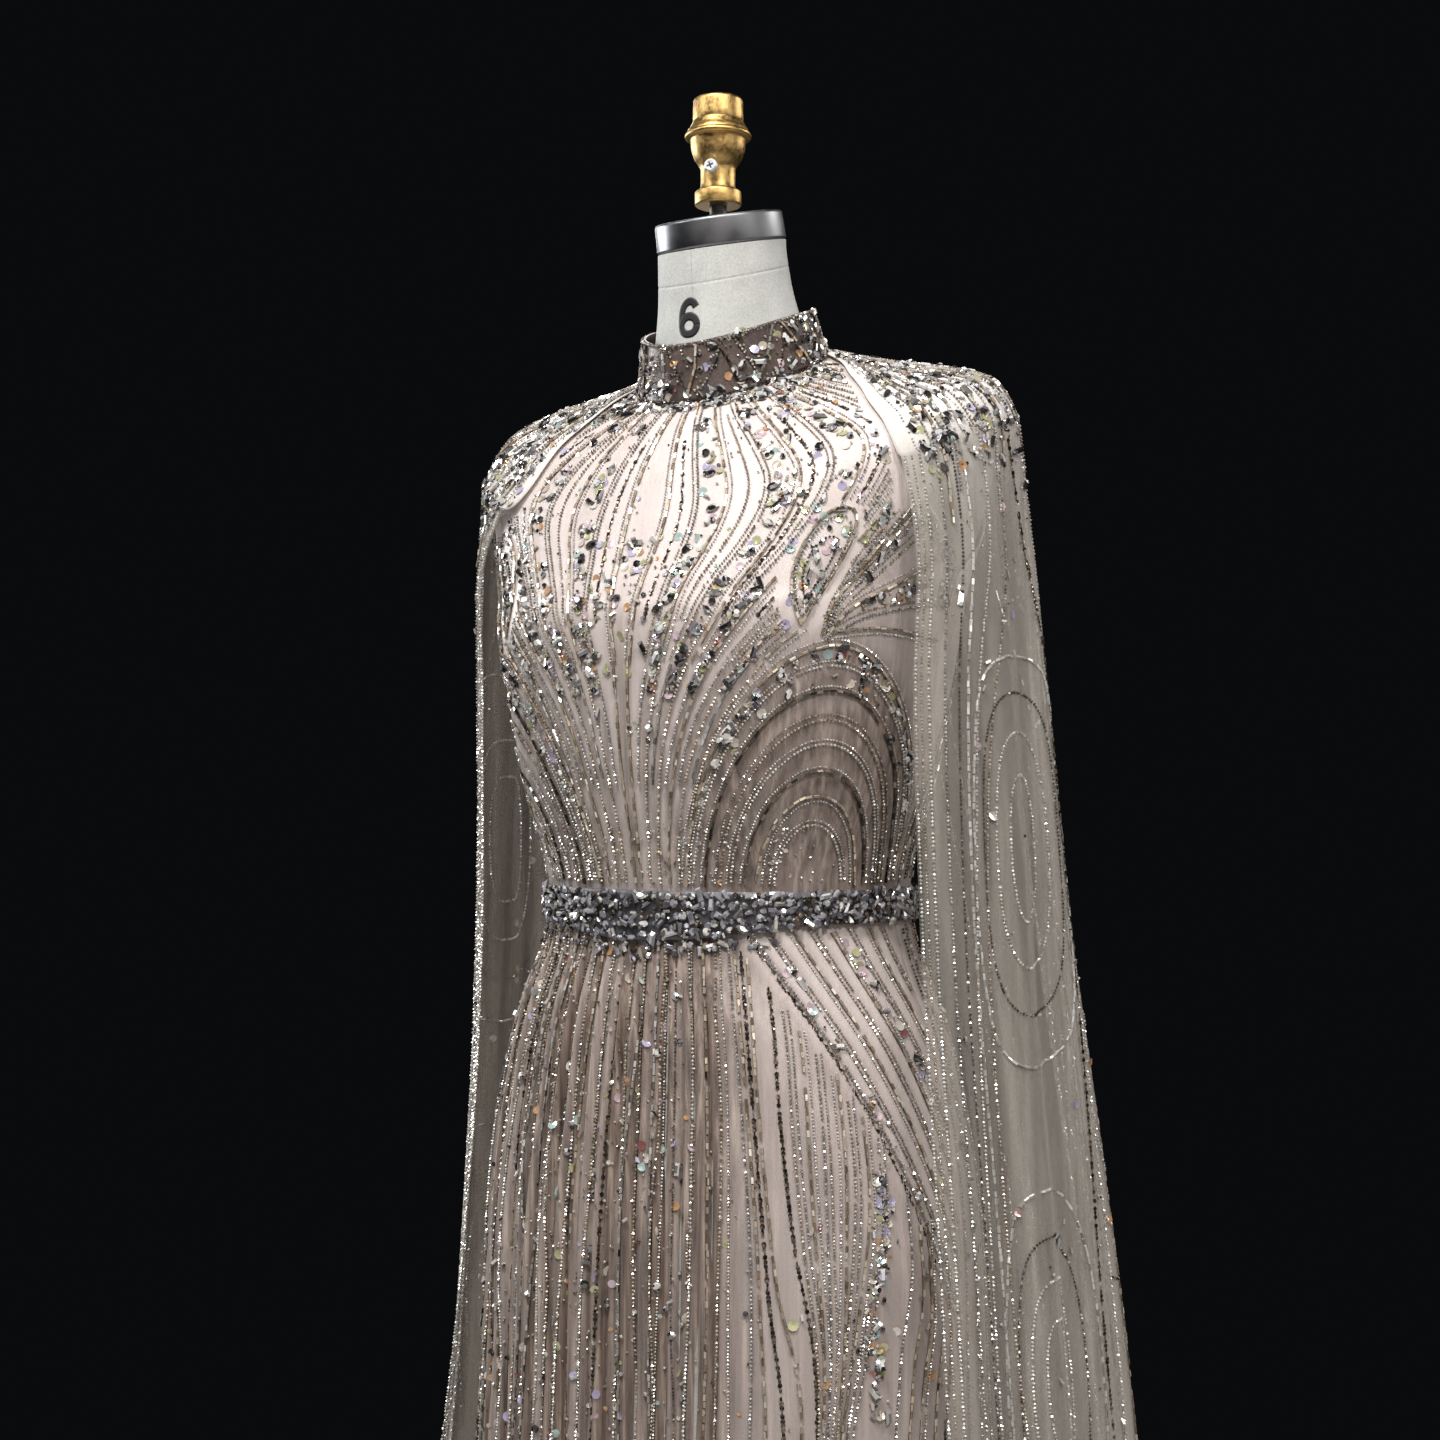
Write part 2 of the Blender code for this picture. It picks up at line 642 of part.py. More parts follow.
def make_stand(finish):
    base_profile = (
        (0.0, BASE_RADIUS),
        (BASE_HEIGHT - BASE_BEVEL, BASE_RADIUS),
        (BASE_HEIGHT, BASE_RADIUS - BASE_BEVEL),
        (BASE_HEIGHT + BASE_RISE, HUB_RADIUS + HUB_FOOT),
        (HUB_HEIGHT * 0.6, HUB_RADIUS),
        (HUB_HEIGHT, HUB_RADIUS * 0.8),
    )
    turned("stand_base", base_profile, finish, sides=BASE_SIDES)
    turned(
        "stand_pole", ((HUB_HEIGHT + SEAM, POLE_RADIUS), (TORSO_BOTTOM_Z - SEAM, POLE_RADIUS)), finish
    )


def main():
    for leftover in list(bpy.data.objects):
        bpy.data.objects.remove(leftover)
    tulle = material("beaded_tulle", (0.56, 0.42, 0.33), 0.55)
    sheer = material("cape_tulle", (0.66, 0.55, 0.45), 0.60)
    collar = material("beaded_collar", (0.42, 0.33, 0.31), 0.40)
    crystal = material("belt_crystal", (0.45, 0.44, 0.45), 0.20, 0.6)
    zip_tape = material("zip_tape", (0.50, 0.38, 0.30), 0.60)
    linen = material("form_linen", (0.80, 0.76, 0.68), 0.85)
    chrome = material("dark_chrome", (0.10, 0.09, 0.09), 0.20, 1.0)
    gold = material("gold_paint", (0.62, 0.47, 0.22), 0.35, 0.8)
    steel = material("screw_steel", (0.65, 0.65, 0.66), 0.25, 1.0)

    make_bodice(tulle)
    make_skirt(tulle)
    make_zip(zip_tape)
    make_collar(collar)
    make_belt(crystal)
    make_cape("cape_left", 1, 0.10, sheer)
    make_cape("cape_right", -1, 0.55, sheer)
    make_torso(linen)
    make_neck_cap(chrome)
    make_finial(gold, steel, chrome)
    make_stand(chrome)


main()
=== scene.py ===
"""Looks of the evening gown on its dress form: tulle and satin shells, bead embroidery and the form.

Metres, +Z up, front towards -Y, the wearer's left towards +X. Angles round the figure are in degrees from
the front, and grow towards the wearer's left. A row is a place between two rings of a ring table, counted
from its first ring. The ring tables repeat the part's own, so every shell lies on its solid.
"""

import math

import bpy
import numpy as np
from mathutils import Matrix, Vector


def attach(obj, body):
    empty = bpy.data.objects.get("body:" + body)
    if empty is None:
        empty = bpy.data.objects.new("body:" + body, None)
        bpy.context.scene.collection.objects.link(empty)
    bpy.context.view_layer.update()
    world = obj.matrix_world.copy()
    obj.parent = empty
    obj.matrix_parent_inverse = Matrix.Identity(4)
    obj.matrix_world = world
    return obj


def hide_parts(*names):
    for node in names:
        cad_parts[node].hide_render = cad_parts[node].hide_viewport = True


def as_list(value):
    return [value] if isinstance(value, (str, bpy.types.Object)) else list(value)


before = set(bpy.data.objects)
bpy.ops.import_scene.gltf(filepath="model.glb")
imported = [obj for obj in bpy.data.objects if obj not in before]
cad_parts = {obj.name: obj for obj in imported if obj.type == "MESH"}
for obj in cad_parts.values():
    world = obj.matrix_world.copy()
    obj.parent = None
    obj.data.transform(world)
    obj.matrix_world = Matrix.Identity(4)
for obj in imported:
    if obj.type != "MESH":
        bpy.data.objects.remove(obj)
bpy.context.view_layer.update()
RANDOM = np.random.default_rng(6)

# ---------------- the part's own sizes

# Cloth thickness, and the hem's height above the floor
CLOTH, HEM_Z = 0.0012, 0.012
RINGS = np.array((
    # half width, front, back, centre y, squareness, z front, z side, z back
    (0.067, 0.062, 0.060, 0.010, 2.00, 1.397, 1.427, 1.452),
    (0.100, 0.082, 0.074, 0.012, 2.02, 1.376, 1.421, 1.437),
    (0.144, 0.101, 0.084, 0.016, 2.05, 1.350, 1.414, 1.413),
    (0.184, 0.119, 0.087, 0.024, 2.05, 1.324, 1.404, 1.387),
    (0.197, 0.130, 0.089, 0.027, 2.05, 1.305, 1.383, 1.362),
    (0.189, 0.137, 0.093, 0.025, 2.10, 1.286, 1.335, 1.328),
    (0.170, 0.138, 0.101, 0.016, 2.25, 1.266, 1.278, 1.284),
    (0.162, 0.137, 0.107, 0.010, 2.35, 1.240, 1.240, 1.240),
    (0.149, 0.127, 0.106, 0.007, 2.25, 1.160, 1.160, 1.160),
    (0.128, 0.108, 0.104, 0.005, 2.10, 1.060, 1.060, 1.060),
    (0.157, 0.120, 0.124, 0.006, 2.10, 0.965, 0.965, 0.965),
    (0.174, 0.130, 0.140, 0.006, 2.10, 0.860, 0.860, 0.860),
    (0.179, 0.136, 0.148, 0.006, 2.10, 0.700, 0.700, 0.700),
    (0.194, 0.155, 0.164, 0.006, 2.05, 0.470, 0.470, 0.470),
    (0.232, 0.200, 0.206, 0.006, 2.00, 0.230, 0.230, 0.230),
    (0.272, 0.248, 0.252, 0.006, 2.00, 0.012, 0.012, 0.012),
))
NECK_ROW, SHOULDER_ROW, ARMPIT_ROW, CHEST_ROW, WAIST_ROW, HEM_ROW = 0, 3, 6, 7, 9, 15
ARMHOLE = np.array(((90, 90), (90, 90), (90, 90), (90, 90), (62, 121), (66, 124), (90, 90)), float)
CAPE_RINGS = np.array((
    # as RINGS, then the right cape's front depth and the folds' depth
    (0.2020, 0.136, 0.097, 0.027, 2.10, 1.310, 1.379, 1.364, 0.136, 0.0000),
    (0.2040, 0.142, 0.112, 0.026, 2.35, 1.250, 1.300, 1.290, 0.134, 0.0010),
    (0.2110, 0.148, 0.128, 0.026, 2.50, 1.180, 1.200, 1.200, 0.116, 0.0035),
    (0.2210, 0.158, 0.148, 0.036, 2.60, 1.030, 1.030, 1.030, 0.108, 0.0060),
    (0.2340, 0.168, 0.170, 0.045, 2.60, 0.860, 0.860, 0.860, 0.118, 0.0080),
    (0.2470, 0.182, 0.195, 0.050, 2.60, 0.680, 0.680, 0.680, 0.140, 0.0100),
    (0.2700, 0.212, 0.225, 0.045, 2.35, 0.440, 0.440, 0.440, 0.190, 0.0120),
    (0.2980, 0.248, 0.250, 0.032, 2.15, 0.210, 0.210, 0.210, 0.235, 0.0140),
    (0.3260, 0.285, 0.280, 0.024, 2.10, 0.030, 0.030, 0.030, 0.275, 0.0150),
))
CAPE_EDGES = np.array((
    # left cape's front edge, right cape's front edge, back edges
    (112, 84, 172), (80, 54, 172), (62, 42, 172), (54, 36, 172), (54, 40, 172), (58, 53, 171), (56, 59, 168),
    (54, 61, 164), (53, 62, 162), (53, 64, 162), (57, 64, 163), (62, 64, 164), (64, 65, 165),
), float)
# Columns of CAPE_RINGS
FRONT, FRONT_RIGHT, FOLD = 1, 8, 9
CAPE_LAST_ROW = 12
CAPE_LIFT, CAPE_START, CAPE_FOLDS = 0.0032, 0.05, 5.5
CAPE_EDGE_TURN, CAPE_EDGE_TURN_ANGLE = 0.008, 9
GATHER_FROM, GATHER_TO, GATHER_COUNT = -72, 14, 16
GATHER_TOP_Z, GATHER_FULL_Z = 1.040, 1.000
GATHER_DEPTH, GATHER_DEPTH_AT_HEM = 0.0026, 0.0060
SLANT_TOP, SLANT_BOTTOM = (22, 1.020), (74, 0.800)
SLANT_DEPTH, SLANT_WIDTH = 0.0045, 9
COLLAR_TOP = np.array((0.0600, 0.057, 0.053, 0.005, 2.00, 1.438, 1.463, 1.474))
COLLAR_RAISE, COLLAR_CLOTH = 0.0009, 0.0016
BELT_TOP_Z, BELT_BOTTOM_SIDE_Z, BELT_BOTTOM_FRONT_Z, BELT_DIP_ANGLE = 1.0735, 1.0520, 1.0410, 60
BELT_LIFT, BELT_CLOTH = 0.0026, 0.0016
ZIP_HALF_WIDTH, ZIP_END_Z = 0.0030, 0.900
# Height, radius and centre y
NECK_RINGS = ((1.452, 0.0520, 0.006), (1.478, 0.0470, 0.001),
              (1.502, 0.0448, -0.003), (1.514, 0.0444, -0.004))
NECK_TILT = math.radians(14)
NECK_CAP_RADIUS, NECK_CAP_HEIGHT = 0.0450, 0.0200
FINIAL_FOOT_Z = 1.5420
SIDE, BACK = 90, 180


# ---------------- surfaces, for whole arrays of points

def along(table, position):
    """A table's columns at fractional rows, on a smooth curve through its rows."""
    last = len(table) - 1
    position = np.clip(np.asarray(position, float), 0, last)
    row = np.minimum(position.astype(int), last - 1)
    t = (position - row)[..., None]
    a, b, c, d = (table[np.clip(row + k, 0, last)] for k in (-1, 0, 1, 2))
    square, cube = 2 * a - 5 * b + 4 * c - d, 3 * b - a - 3 * c + d
    return 0.5 * (2 * b + (c - a) * t + square * t ** 2 + cube * t ** 3)


def ring_point(ring, angle):
    """Points of superellipse rings at angles."""
    s, c = np.sin(np.radians(angle)), np.cos(np.radians(angle))
    power = 2.0 / ring[..., 4]
    depth = np.where(c > 0, ring[..., 1], ring[..., 2])
    tilt = (ring[..., 5] - ring[..., 7]) / 2
    bow = (ring[..., 5] + ring[..., 7]) / 2 - ring[..., 6]
    return np.stack((
        ring[..., 0] * np.sign(s) * np.abs(s) ** power,
        ring[..., 3] - depth * np.sign(c) * np.abs(c) ** power,
        ring[..., 6] + tilt * c + bow * c * c,
    ), axis=-1)


def figure(angle, row):
    """The gown's outer surface without its gathers."""
    angle, row = np.broadcast_arrays(np.asarray(angle, float), np.asarray(row, float))
    return ring_point(along(RINGS, row), angle)


def surface_normal(surface, angle, row):
    """Unit normals that point away from the figure."""
    turn, step = 0.1, 1e-3
    across = surface(angle + turn, row) - surface(angle - turn, row)
    down = surface(angle, row + step) - surface(angle, row - step)
    normal = np.cross(down, across)
    return normal / np.maximum(np.linalg.norm(normal, axis=-1, keepdims=True), 1e-12)


ROW_SAMPLES = np.linspace(CHEST_ROW, HEM_ROW, 1601)
ROW_HEIGHTS = along(RINGS, ROW_SAMPLES)[:, 6]


def row_at(z):
    """The rows of RINGS at heights at or below the chest."""
    return np.interp(-np.asarray(z, float), -ROW_HEIGHTS, ROW_SAMPLES)


def ease(value, start, end):
    """0 before start and 1 after end, with a smooth run between them."""
    t = np.clip((np.asarray(value, float) - start) / (end - start), 0.0, 1.0)
    return t * t * (3 - 2 * t)


def gathers(angle, row):
    """How far the skirt's gathers and its slanting fold stand out from the figure."""
    z = figure(angle, row)[..., 2]
    start = ease(z, GATHER_TOP_Z, GATHER_FULL_Z)
    depth = GATHER_DEPTH + (GATHER_DEPTH_AT_HEM - GATHER_DEPTH) * ease(z, GATHER_FULL_Z, HEM_Z)
    turn = (angle - GATHER_FROM) / (GATHER_TO - GATHER_FROM)
    strength = np.clip(np.minimum(6 * turn, 6 * (1 - turn)), 0, 1)
    lift = depth * strength * (0.5 - 0.5 * np.cos(2 * math.pi * GATHER_COUNT * turn))
    run = (z - SLANT_TOP[1]) / (SLANT_BOTTOM[1] - SLANT_TOP[1])
    centre = SLANT_TOP[0] + (SLANT_BOTTOM[0] - SLANT_TOP[0]) * run
    fade = ease(run, -0.1, 0.15) * (1 - ease(run, 0.8, 1.6))
    return start * (lift + SLANT_DEPTH * fade * np.exp(-((angle - centre) / SLANT_WIDTH) ** 2))


BACK_FOLD_COUNT, BACK_FOLD_DEPTH = 8, 0.010


def back_folds(angle, row):
    """The broad, soft folds of the skirt's back panels."""
    z = figure(angle, row)[..., 2]
    wave = 0.5 - 0.5 * np.cos(np.radians(BACK - np.abs(angle)) * BACK_FOLD_COUNT)
    return BACK_FOLD_DEPTH * ease(z, 0.95, 0.10) * wave * ease(np.abs(angle), 90, 105)


def cape_base(angle, row):
    """A cape without its folds: on the bodice as far as the shoulder tip, and then on its own rings."""
    angle, row = np.broadcast_arrays(np.asarray(angle, float), np.asarray(row, float))
    body_row = np.minimum(row, SHOULDER_ROW + 1.2)
    on_body = figure(angle, body_row) + surface_normal(figure, angle, body_row) * CAPE_LIFT
    ring = along(CAPE_RINGS, row - SHOULDER_ROW - 1)
    ring[..., FRONT] = np.where(angle < 0, ring[..., FRONT_RIGHT], ring[..., FRONT])
    share = ease(row, SHOULDER_ROW, SHOULDER_ROW + 1)[..., None]
    return on_body * (1 - share) + ring_point(ring, angle) * share


def cape_edges(side, row):
    """The angles of a cape's front and back edges; side is 1 for the wearer's left and -1 for the right."""
    edges = along(CAPE_EDGES, row)
    return edges[..., 0 if side > 0 else 1], edges[..., 2]


def cape_fold_lift(side, phase):
    """The long folds of a cape: they deepen on the way down, and the front edge turns in a little."""
    def lift(angle, row):
        front_edge, back_edge = cape_edges(side, row)
        depth = along(CAPE_RINGS, row - SHOULDER_ROW - 1)[..., FOLD]
        across = np.clip((side * angle - front_edge) / (back_edge - front_edge), 0, 1)
        wave = np.sin(2 * math.pi * (CAPE_FOLDS * across ** 1.15 + phase))
        turn = 1 - ease(side * angle - front_edge, 0, CAPE_EDGE_TURN_ANGLE)
        turned_in = CAPE_EDGE_TURN * turn * ease(row, 4.5, 6.0) * (1 - ease(row, 7.5, 9.5))
        return depth * wave * ease(across, 0, 0.12) - turned_in

    return lift


def collar_surface(angle, down):
    """The stand collar's outer face: down is 0 at its top edge and 1 just above the neck seam."""
    down = np.asarray(down, float)[..., None]
    top = ring_point(np.broadcast_to(COLLAR_TOP, np.shape(angle) + (8,)), angle)
    seam = ring_point(np.broadcast_to(RINGS[NECK_ROW], np.shape(angle) + (8,)), angle)
    return top * (1 - down) + seam * down + np.array((0, 0, COLLAR_RAISE))


def belt_surface(angle, down):
    """The belt's outer face: down is 0 at its top edge and 1 at its lower edge, which dips at the front."""
    dip = ease(np.abs(angle), BELT_DIP_ANGLE, 0)
    bottom = BELT_BOTTOM_SIDE_Z + (BELT_BOTTOM_FRONT_Z - BELT_BOTTOM_SIDE_Z) * dip
    row = row_at(BELT_TOP_Z + (bottom - BELT_TOP_Z) * down)
    return figure(angle, row) + surface_normal(figure, angle, row) * BELT_LIFT


# ---------------- mesh building

def linked(name, data):
    """A new object in the scene."""
    made = bpy.data.objects.new(name, data)
    bpy.context.scene.collection.objects.link(made)
    return made


def new_object(name, points, faces, finish, smooth=True, sharp=None):
    """A mesh object; faces are tuples or an array, and edges steeper than sharp, in degrees, stay hard."""
    data = bpy.data.meshes.new(name)
    faces = faces.tolist() if isinstance(faces, np.ndarray) else faces
    data.from_pydata(np.asarray(points, float).reshape(-1, 3).tolist(), [], faces)
    data.update()
    if smooth:
        data.shade_smooth()
    if sharp:
        data.set_sharp_from_angle(angle=math.radians(sharp))
    data.materials.append(finish)
    return linked(name, data)


def settle(piece, slot, solid=None):
    """Let a piece ride the root and stand for a solid; slot is not used."""
    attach(piece, "root")
    if solid:
        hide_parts(solid)
    return piece


def mark(piece, name, shares):
    """Keep one number for each point of a piece, for its material to read."""
    piece.data.attributes.new(name, "FLOAT", "POINT").data.foreach_set("value", shares.astype(np.float32))


def grid_faces(rows, columns, start=0, flip=False):
    """Quads of a grid of points, row by row."""
    i, j = np.meshgrid(np.arange(rows - 1), np.arange(columns - 1), indexing="ij")
    a = start + i * columns + j
    quads = np.stack((a, a + 1, a + columns + 1, a + columns), axis=-1).reshape(-1, 4)
    return quads[:, ::-1] if flip else quads


def closed_wall(outer, inner):
    """Points and faces of a wall between two grids, with its four edges closed."""
    rows, columns = outer.shape[:2]
    count = rows * columns
    faces = [grid_faces(rows, columns, flip=True), grid_faces(rows, columns, start=count)]
    border = np.concatenate((
        np.arange(columns),
        np.arange(1, rows) * columns + columns - 1,
        (rows - 1) * columns + np.arange(columns - 2, -1, -1),
        np.arange(rows - 2, 0, -1) * columns,
    ))
    following = np.roll(border, -1)
    faces.append(np.stack((border, following, following + count, border + count), axis=-1))
    return np.concatenate((outer.reshape(-1, 3), inner.reshape(-1, 3))), np.concatenate(faces)


def angle_grid(start, end, columns, rows):
    """Even columns between two edges that may change from row to row."""
    start = np.broadcast_to(np.asarray(start, float), (rows,))
    end = np.broadcast_to(np.asarray(end, float), (rows,))
    return start[:, None] + (end - start)[:, None] * np.linspace(0, 1, columns + 1)[None, :]


def ring_faces(count, sides, upwards=True):
    """Quads between rings of points, and a face over the first and the last ring."""
    faces = []
    for low in range(0, (count - 1) * sides, sides):
        for j in range(sides):
            n = (j + 1) % sides
            quad = (low + j, low + n, low + sides + n, low + sides + j)
            faces.append(quad if upwards else quad[:1] + quad[:0:-1])
    first, last = tuple(range(sides)), tuple(range((count - 1) * sides, count * sides))
    return faces + ([first[::-1], last] if upwards else [first, last[::-1]])


def turned(name, profile, finish, slot, solid, sides=96):
    """A closed solid turned about +Z from (height, radius) pairs, top and bottom closed."""
    around = np.arange(sides) * 2 * math.pi / sides
    points = [(r * math.cos(a), r * math.sin(a), h) for h, r in profile for a in around]
    faces = ring_faces(len(profile), sides)
    return settle(new_object(name, points, faces, finish, sharp=40), slot, solid)


# ---------------- materials

class Nodes:
    """A material's node tree, built with few words."""

    def __init__(self, name):
        self.material = bpy.data.materials.new(name)
        self.material.use_nodes = True
        self.tree = self.material.node_tree
        self.shader = self.tree.nodes["Principled BSDF"]
        self.place = self.add("ShaderNodeTexCoord").outputs["Object"]

    def add(self, kind, **values):
        node = self.tree.nodes.new(kind)
        for key, value in values.items():
            setattr(node, key, value)
        return node

    def link(self, source, target):
        self.tree.links.new(source, target)

    def set(self, **values):
        for key, value in values.items():
            self.shader.inputs[key.replace("_", " ")].default_value = value

    def noise(self, scale, detail=3.0, stretch=(1, 1, 1), roughness=0.5):
        mapping = self.add("ShaderNodeMapping")
        mapping.inputs["Scale"].default_value = stretch
        self.link(self.place, mapping.inputs["Vector"])
        node = self.add("ShaderNodeTexNoise")
        node.inputs["Scale"].default_value = scale
        node.inputs["Detail"].default_value = detail
        node.inputs["Roughness"].default_value = roughness
        self.link(mapping.outputs["Vector"], node.inputs["Vector"])
        return node.outputs["Fac"]

    def ramp(self, source, stops, interpolation="LINEAR"):
        node = self.add("ShaderNodeValToRGB")
        node.color_ramp.interpolation = interpolation
        elements = node.color_ramp.elements
        while len(elements) < len(stops):
            elements.new(0.5)
        for element, (position, colour) in zip(elements, stops):
            element.position = position
            element.color = (*colour, 1.0)
        self.link(source, node.inputs["Fac"])
        return node.outputs["Color"]

    def feed(self, socket, value):
        """Link a socket to another node's, or set its constant."""
        if isinstance(value, bpy.types.NodeSocket):
            self.link(value, socket)
        else:
            socket.default_value = (*value, 1.0) if isinstance(value, tuple) else value

    def blend(self, share, low, high):
        node = self.add("ShaderNodeMix", data_type="RGBA")
        for k, value in ((0, share), (6, low), (7, high)):
            self.feed(node.inputs[k], value)
        return node.outputs[2]

    def maths(self, operation, *values):
        node = self.add("ShaderNodeMath", operation=operation)
        for socket, value in zip(node.inputs, values):
            self.feed(socket, value)
        return node.outputs[0]

    def span(self, source, low, high, to_low=0.0, to_high=1.0):
        node = self.add("ShaderNodeMapRange")
        for key, value in zip(("From Min", "From Max", "To Min", "To Max"), (low, high, to_low, to_high)):
            node.inputs[key].default_value = value
        self.link(source, node.inputs["Value"])
        return node.outputs["Result"]

    def attribute(self, name):
        return self.add("ShaderNodeAttribute", attribute_name=name).outputs["Fac"]

    def bump(self, height, strength, distance, before=None):
        node = self.add("ShaderNodeBump")
        node.inputs["Strength"].default_value = strength
        node.inputs["Distance"].default_value = distance
        self.link(height, node.inputs["Height"])
        if before:
            self.link(before, node.inputs["Normal"])
        return node.outputs["Normal"]

    def drift(self, scale, detail, low, high):
        """A colour that drifts between two."""
        return self.ramp(self.noise(scale, detail), ((0.3, low), (0.7, high)))

    def finish(self, colour, rough=None, normal=None):
        """Link what was built to the shader, and give the material."""
        for key, socket in (("Base Color", colour), ("Roughness", rough), ("Normal", normal)):
            if socket is not None:
                self.link(socket, self.shader.inputs[key])
        return self.material


def net(nodes, pitch):
    """The fine hexagonal mesh of tulle as a height, from small cells."""
    cells = nodes.add("ShaderNodeTexVoronoi", feature="DISTANCE_TO_EDGE")
    cells.inputs["Scale"].default_value = 1.0 / pitch
    nodes.link(nodes.place, cells.inputs["Vector"])
    return nodes.span(cells.outputs["Distance"], 0.0, 0.12, 1.0, 0.0)


def gown_material():
    """Blush satin under champagne tulle: tone is how much tulle lies over it, with painted shade and light.
    """
    n = Nodes("satin_under_tulle")
    n.set(Roughness=0.40, Sheen_Weight=0.22, Sheen_Roughness=0.4, Specular_IOR_Level=0.45,
          Sheen_Tint=(1.0, 0.93, 0.86, 1.0))
    satin = n.drift(9.0, 4, (0.60, 0.515, 0.485), (0.72, 0.640, 0.610))
    threads = n.noise(1.0, detail=4, stretch=(230, 230, 9), roughness=0.6)
    tulle = n.ramp(threads, (
        (0.32, (0.060, 0.039, 0.029)), (0.52, (0.190, 0.137, 0.109)), (0.72, (0.44, 0.350, 0.292)),
    ))
    mesh = net(n, 0.0011)
    share = n.maths("MULTIPLY_ADD", mesh, 0.14, n.attribute("tone"))
    soft = n.bump(n.noise(38.0, detail=4, stretch=(1, 1, 0.35)), 0.30, 0.0012)
    fine = n.bump(threads, 0.60, 0.0010, before=soft)
    return n.finish(n.blend(share, satin, tulle), n.span(n.attribute("tone"), 0.0, 1.0, 0.36, 0.66),
                    n.bump(mesh, 0.30, 0.0003, before=fine))


def cape_material():
    """Sheer champagne tulle: see-through by its fine net, denser where its folds close up."""
    n = Nodes("sheer_tulle")
    n.set(Roughness=0.62, Sheen_Weight=0.5, Sheen_Roughness=0.35, Specular_IOR_Level=0.25,
          Sheen_Tint=(1.0, 0.95, 0.88, 1.0))
    threads = n.noise(1.0, detail=4, stretch=(150, 150, 7), roughness=0.6)
    sheer = n.ramp(threads, ((0.30, (0.40, 0.360, 0.315)), (0.70, (0.63, 0.582, 0.518))))
    mesh = net(n, 0.0013)
    n.link(n.maths("MULTIPLY_ADD", mesh, 0.15, n.attribute("tone")), n.shader.inputs["Alpha"])
    fine = n.bump(threads, 0.25, 0.0008)
    return n.finish(n.blend(n.span(n.attribute("tone"), 0.30, 0.84), sheer, (0.80, 0.765, 0.725)),
                    normal=n.bump(mesh, 0.25, 0.0003, before=fine))


def simple_material(name, scale, detail, low, high, relief=None, **values):
    """A material whose colour drifts between two; relief builds its bump."""
    n = Nodes(name)
    n.set(**values)
    return n.finish(n.drift(scale, detail, low, high), normal=relief(n) if relief else None)


def per_bead(name, tints, metallic, roughness, coat, shaded_rim=(0.030, 0.025, 0.021), lit=(0.30, 0.80),
             dull=0.36, sharp=0.14):
    """A bead finish: each bead takes one of a few tints, all equally likely, with painted shade towards its
    rim.

    lit is the span of a bead's height over which the painted shade gives way to the tint. Each face, by its
    normal, gets a painted glint between dull and fully bright, and sharp is how suddenly that changes.
    """
    n = Nodes(name)
    n.set(Metallic=metallic, Roughness=roughness, Coat_Weight=coat, Coat_Roughness=0.05)
    chance = n.add("ShaderNodeNewGeometry").outputs["Random Per Island"]
    stops = tuple((k / len(tints), tint) for k, tint in enumerate(tints))
    tint = n.ramp(chance, stops, interpolation="CONSTANT")
    # Painted glints: each flat face takes its own brightness from its normal
    glint_noise = n.add("ShaderNodeTexNoise", noise_dimensions="4D")
    glint_noise.inputs["Scale"].default_value = 3.0
    glint_noise.inputs["Detail"].default_value = 1.0
    n.link(n.add("ShaderNodeNewGeometry").outputs["True Normal"], glint_noise.inputs["Vector"])
    n.link(n.maths("MULTIPLY", chance, 60.0), glint_noise.inputs["W"])
    painted_glint = n.span(glint_noise.outputs["Fac"], 0.5 - sharp, 0.5 + sharp, dull, 1.0)
    # Towards each bead's foot the tint gives way to the rim colour: painted shade
    return n.finish(n.blend(n.maths("MULTIPLY", n.span(n.attribute("top"), *lit), painted_glint), shaded_rim, tint),
                    n.span(chance, 0.0, 1.0, roughness * 0.7, roughness * 1.5))


def paillette_material():
    """Sheer iridescent discs, each with its own tint."""
    n = Nodes("iridescent_paillette")
    n.set(Metallic=0.30, Roughness=0.16, Coat_Weight=1.0, Coat_Roughness=0.04, Alpha=0.80,
          Thin_Film_Thickness=420.0, Thin_Film_IOR=1.5)
    chance = n.add("ShaderNodeNewGeometry").outputs["Random Per Island"]
    return n.finish(n.ramp(chance, (
        (0.00, (0.62, 0.62, 0.36)), (0.15, (0.82, 0.64, 0.70)), (0.30, (0.72, 0.42, 0.22)),
        (0.38, (0.66, 0.60, 0.82)), (0.50, (0.56, 0.70, 0.68)), (0.62, (0.90, 0.85, 0.76)),
        (0.80, (0.70, 0.62, 0.52)), (0.95, (0.40, 0.16, 0.15)),
    ), interpolation="CONSTANT"))


NECK_SEAM_X, NECK_SEAM_HALF_WIDTH = 0.0030, 0.00045


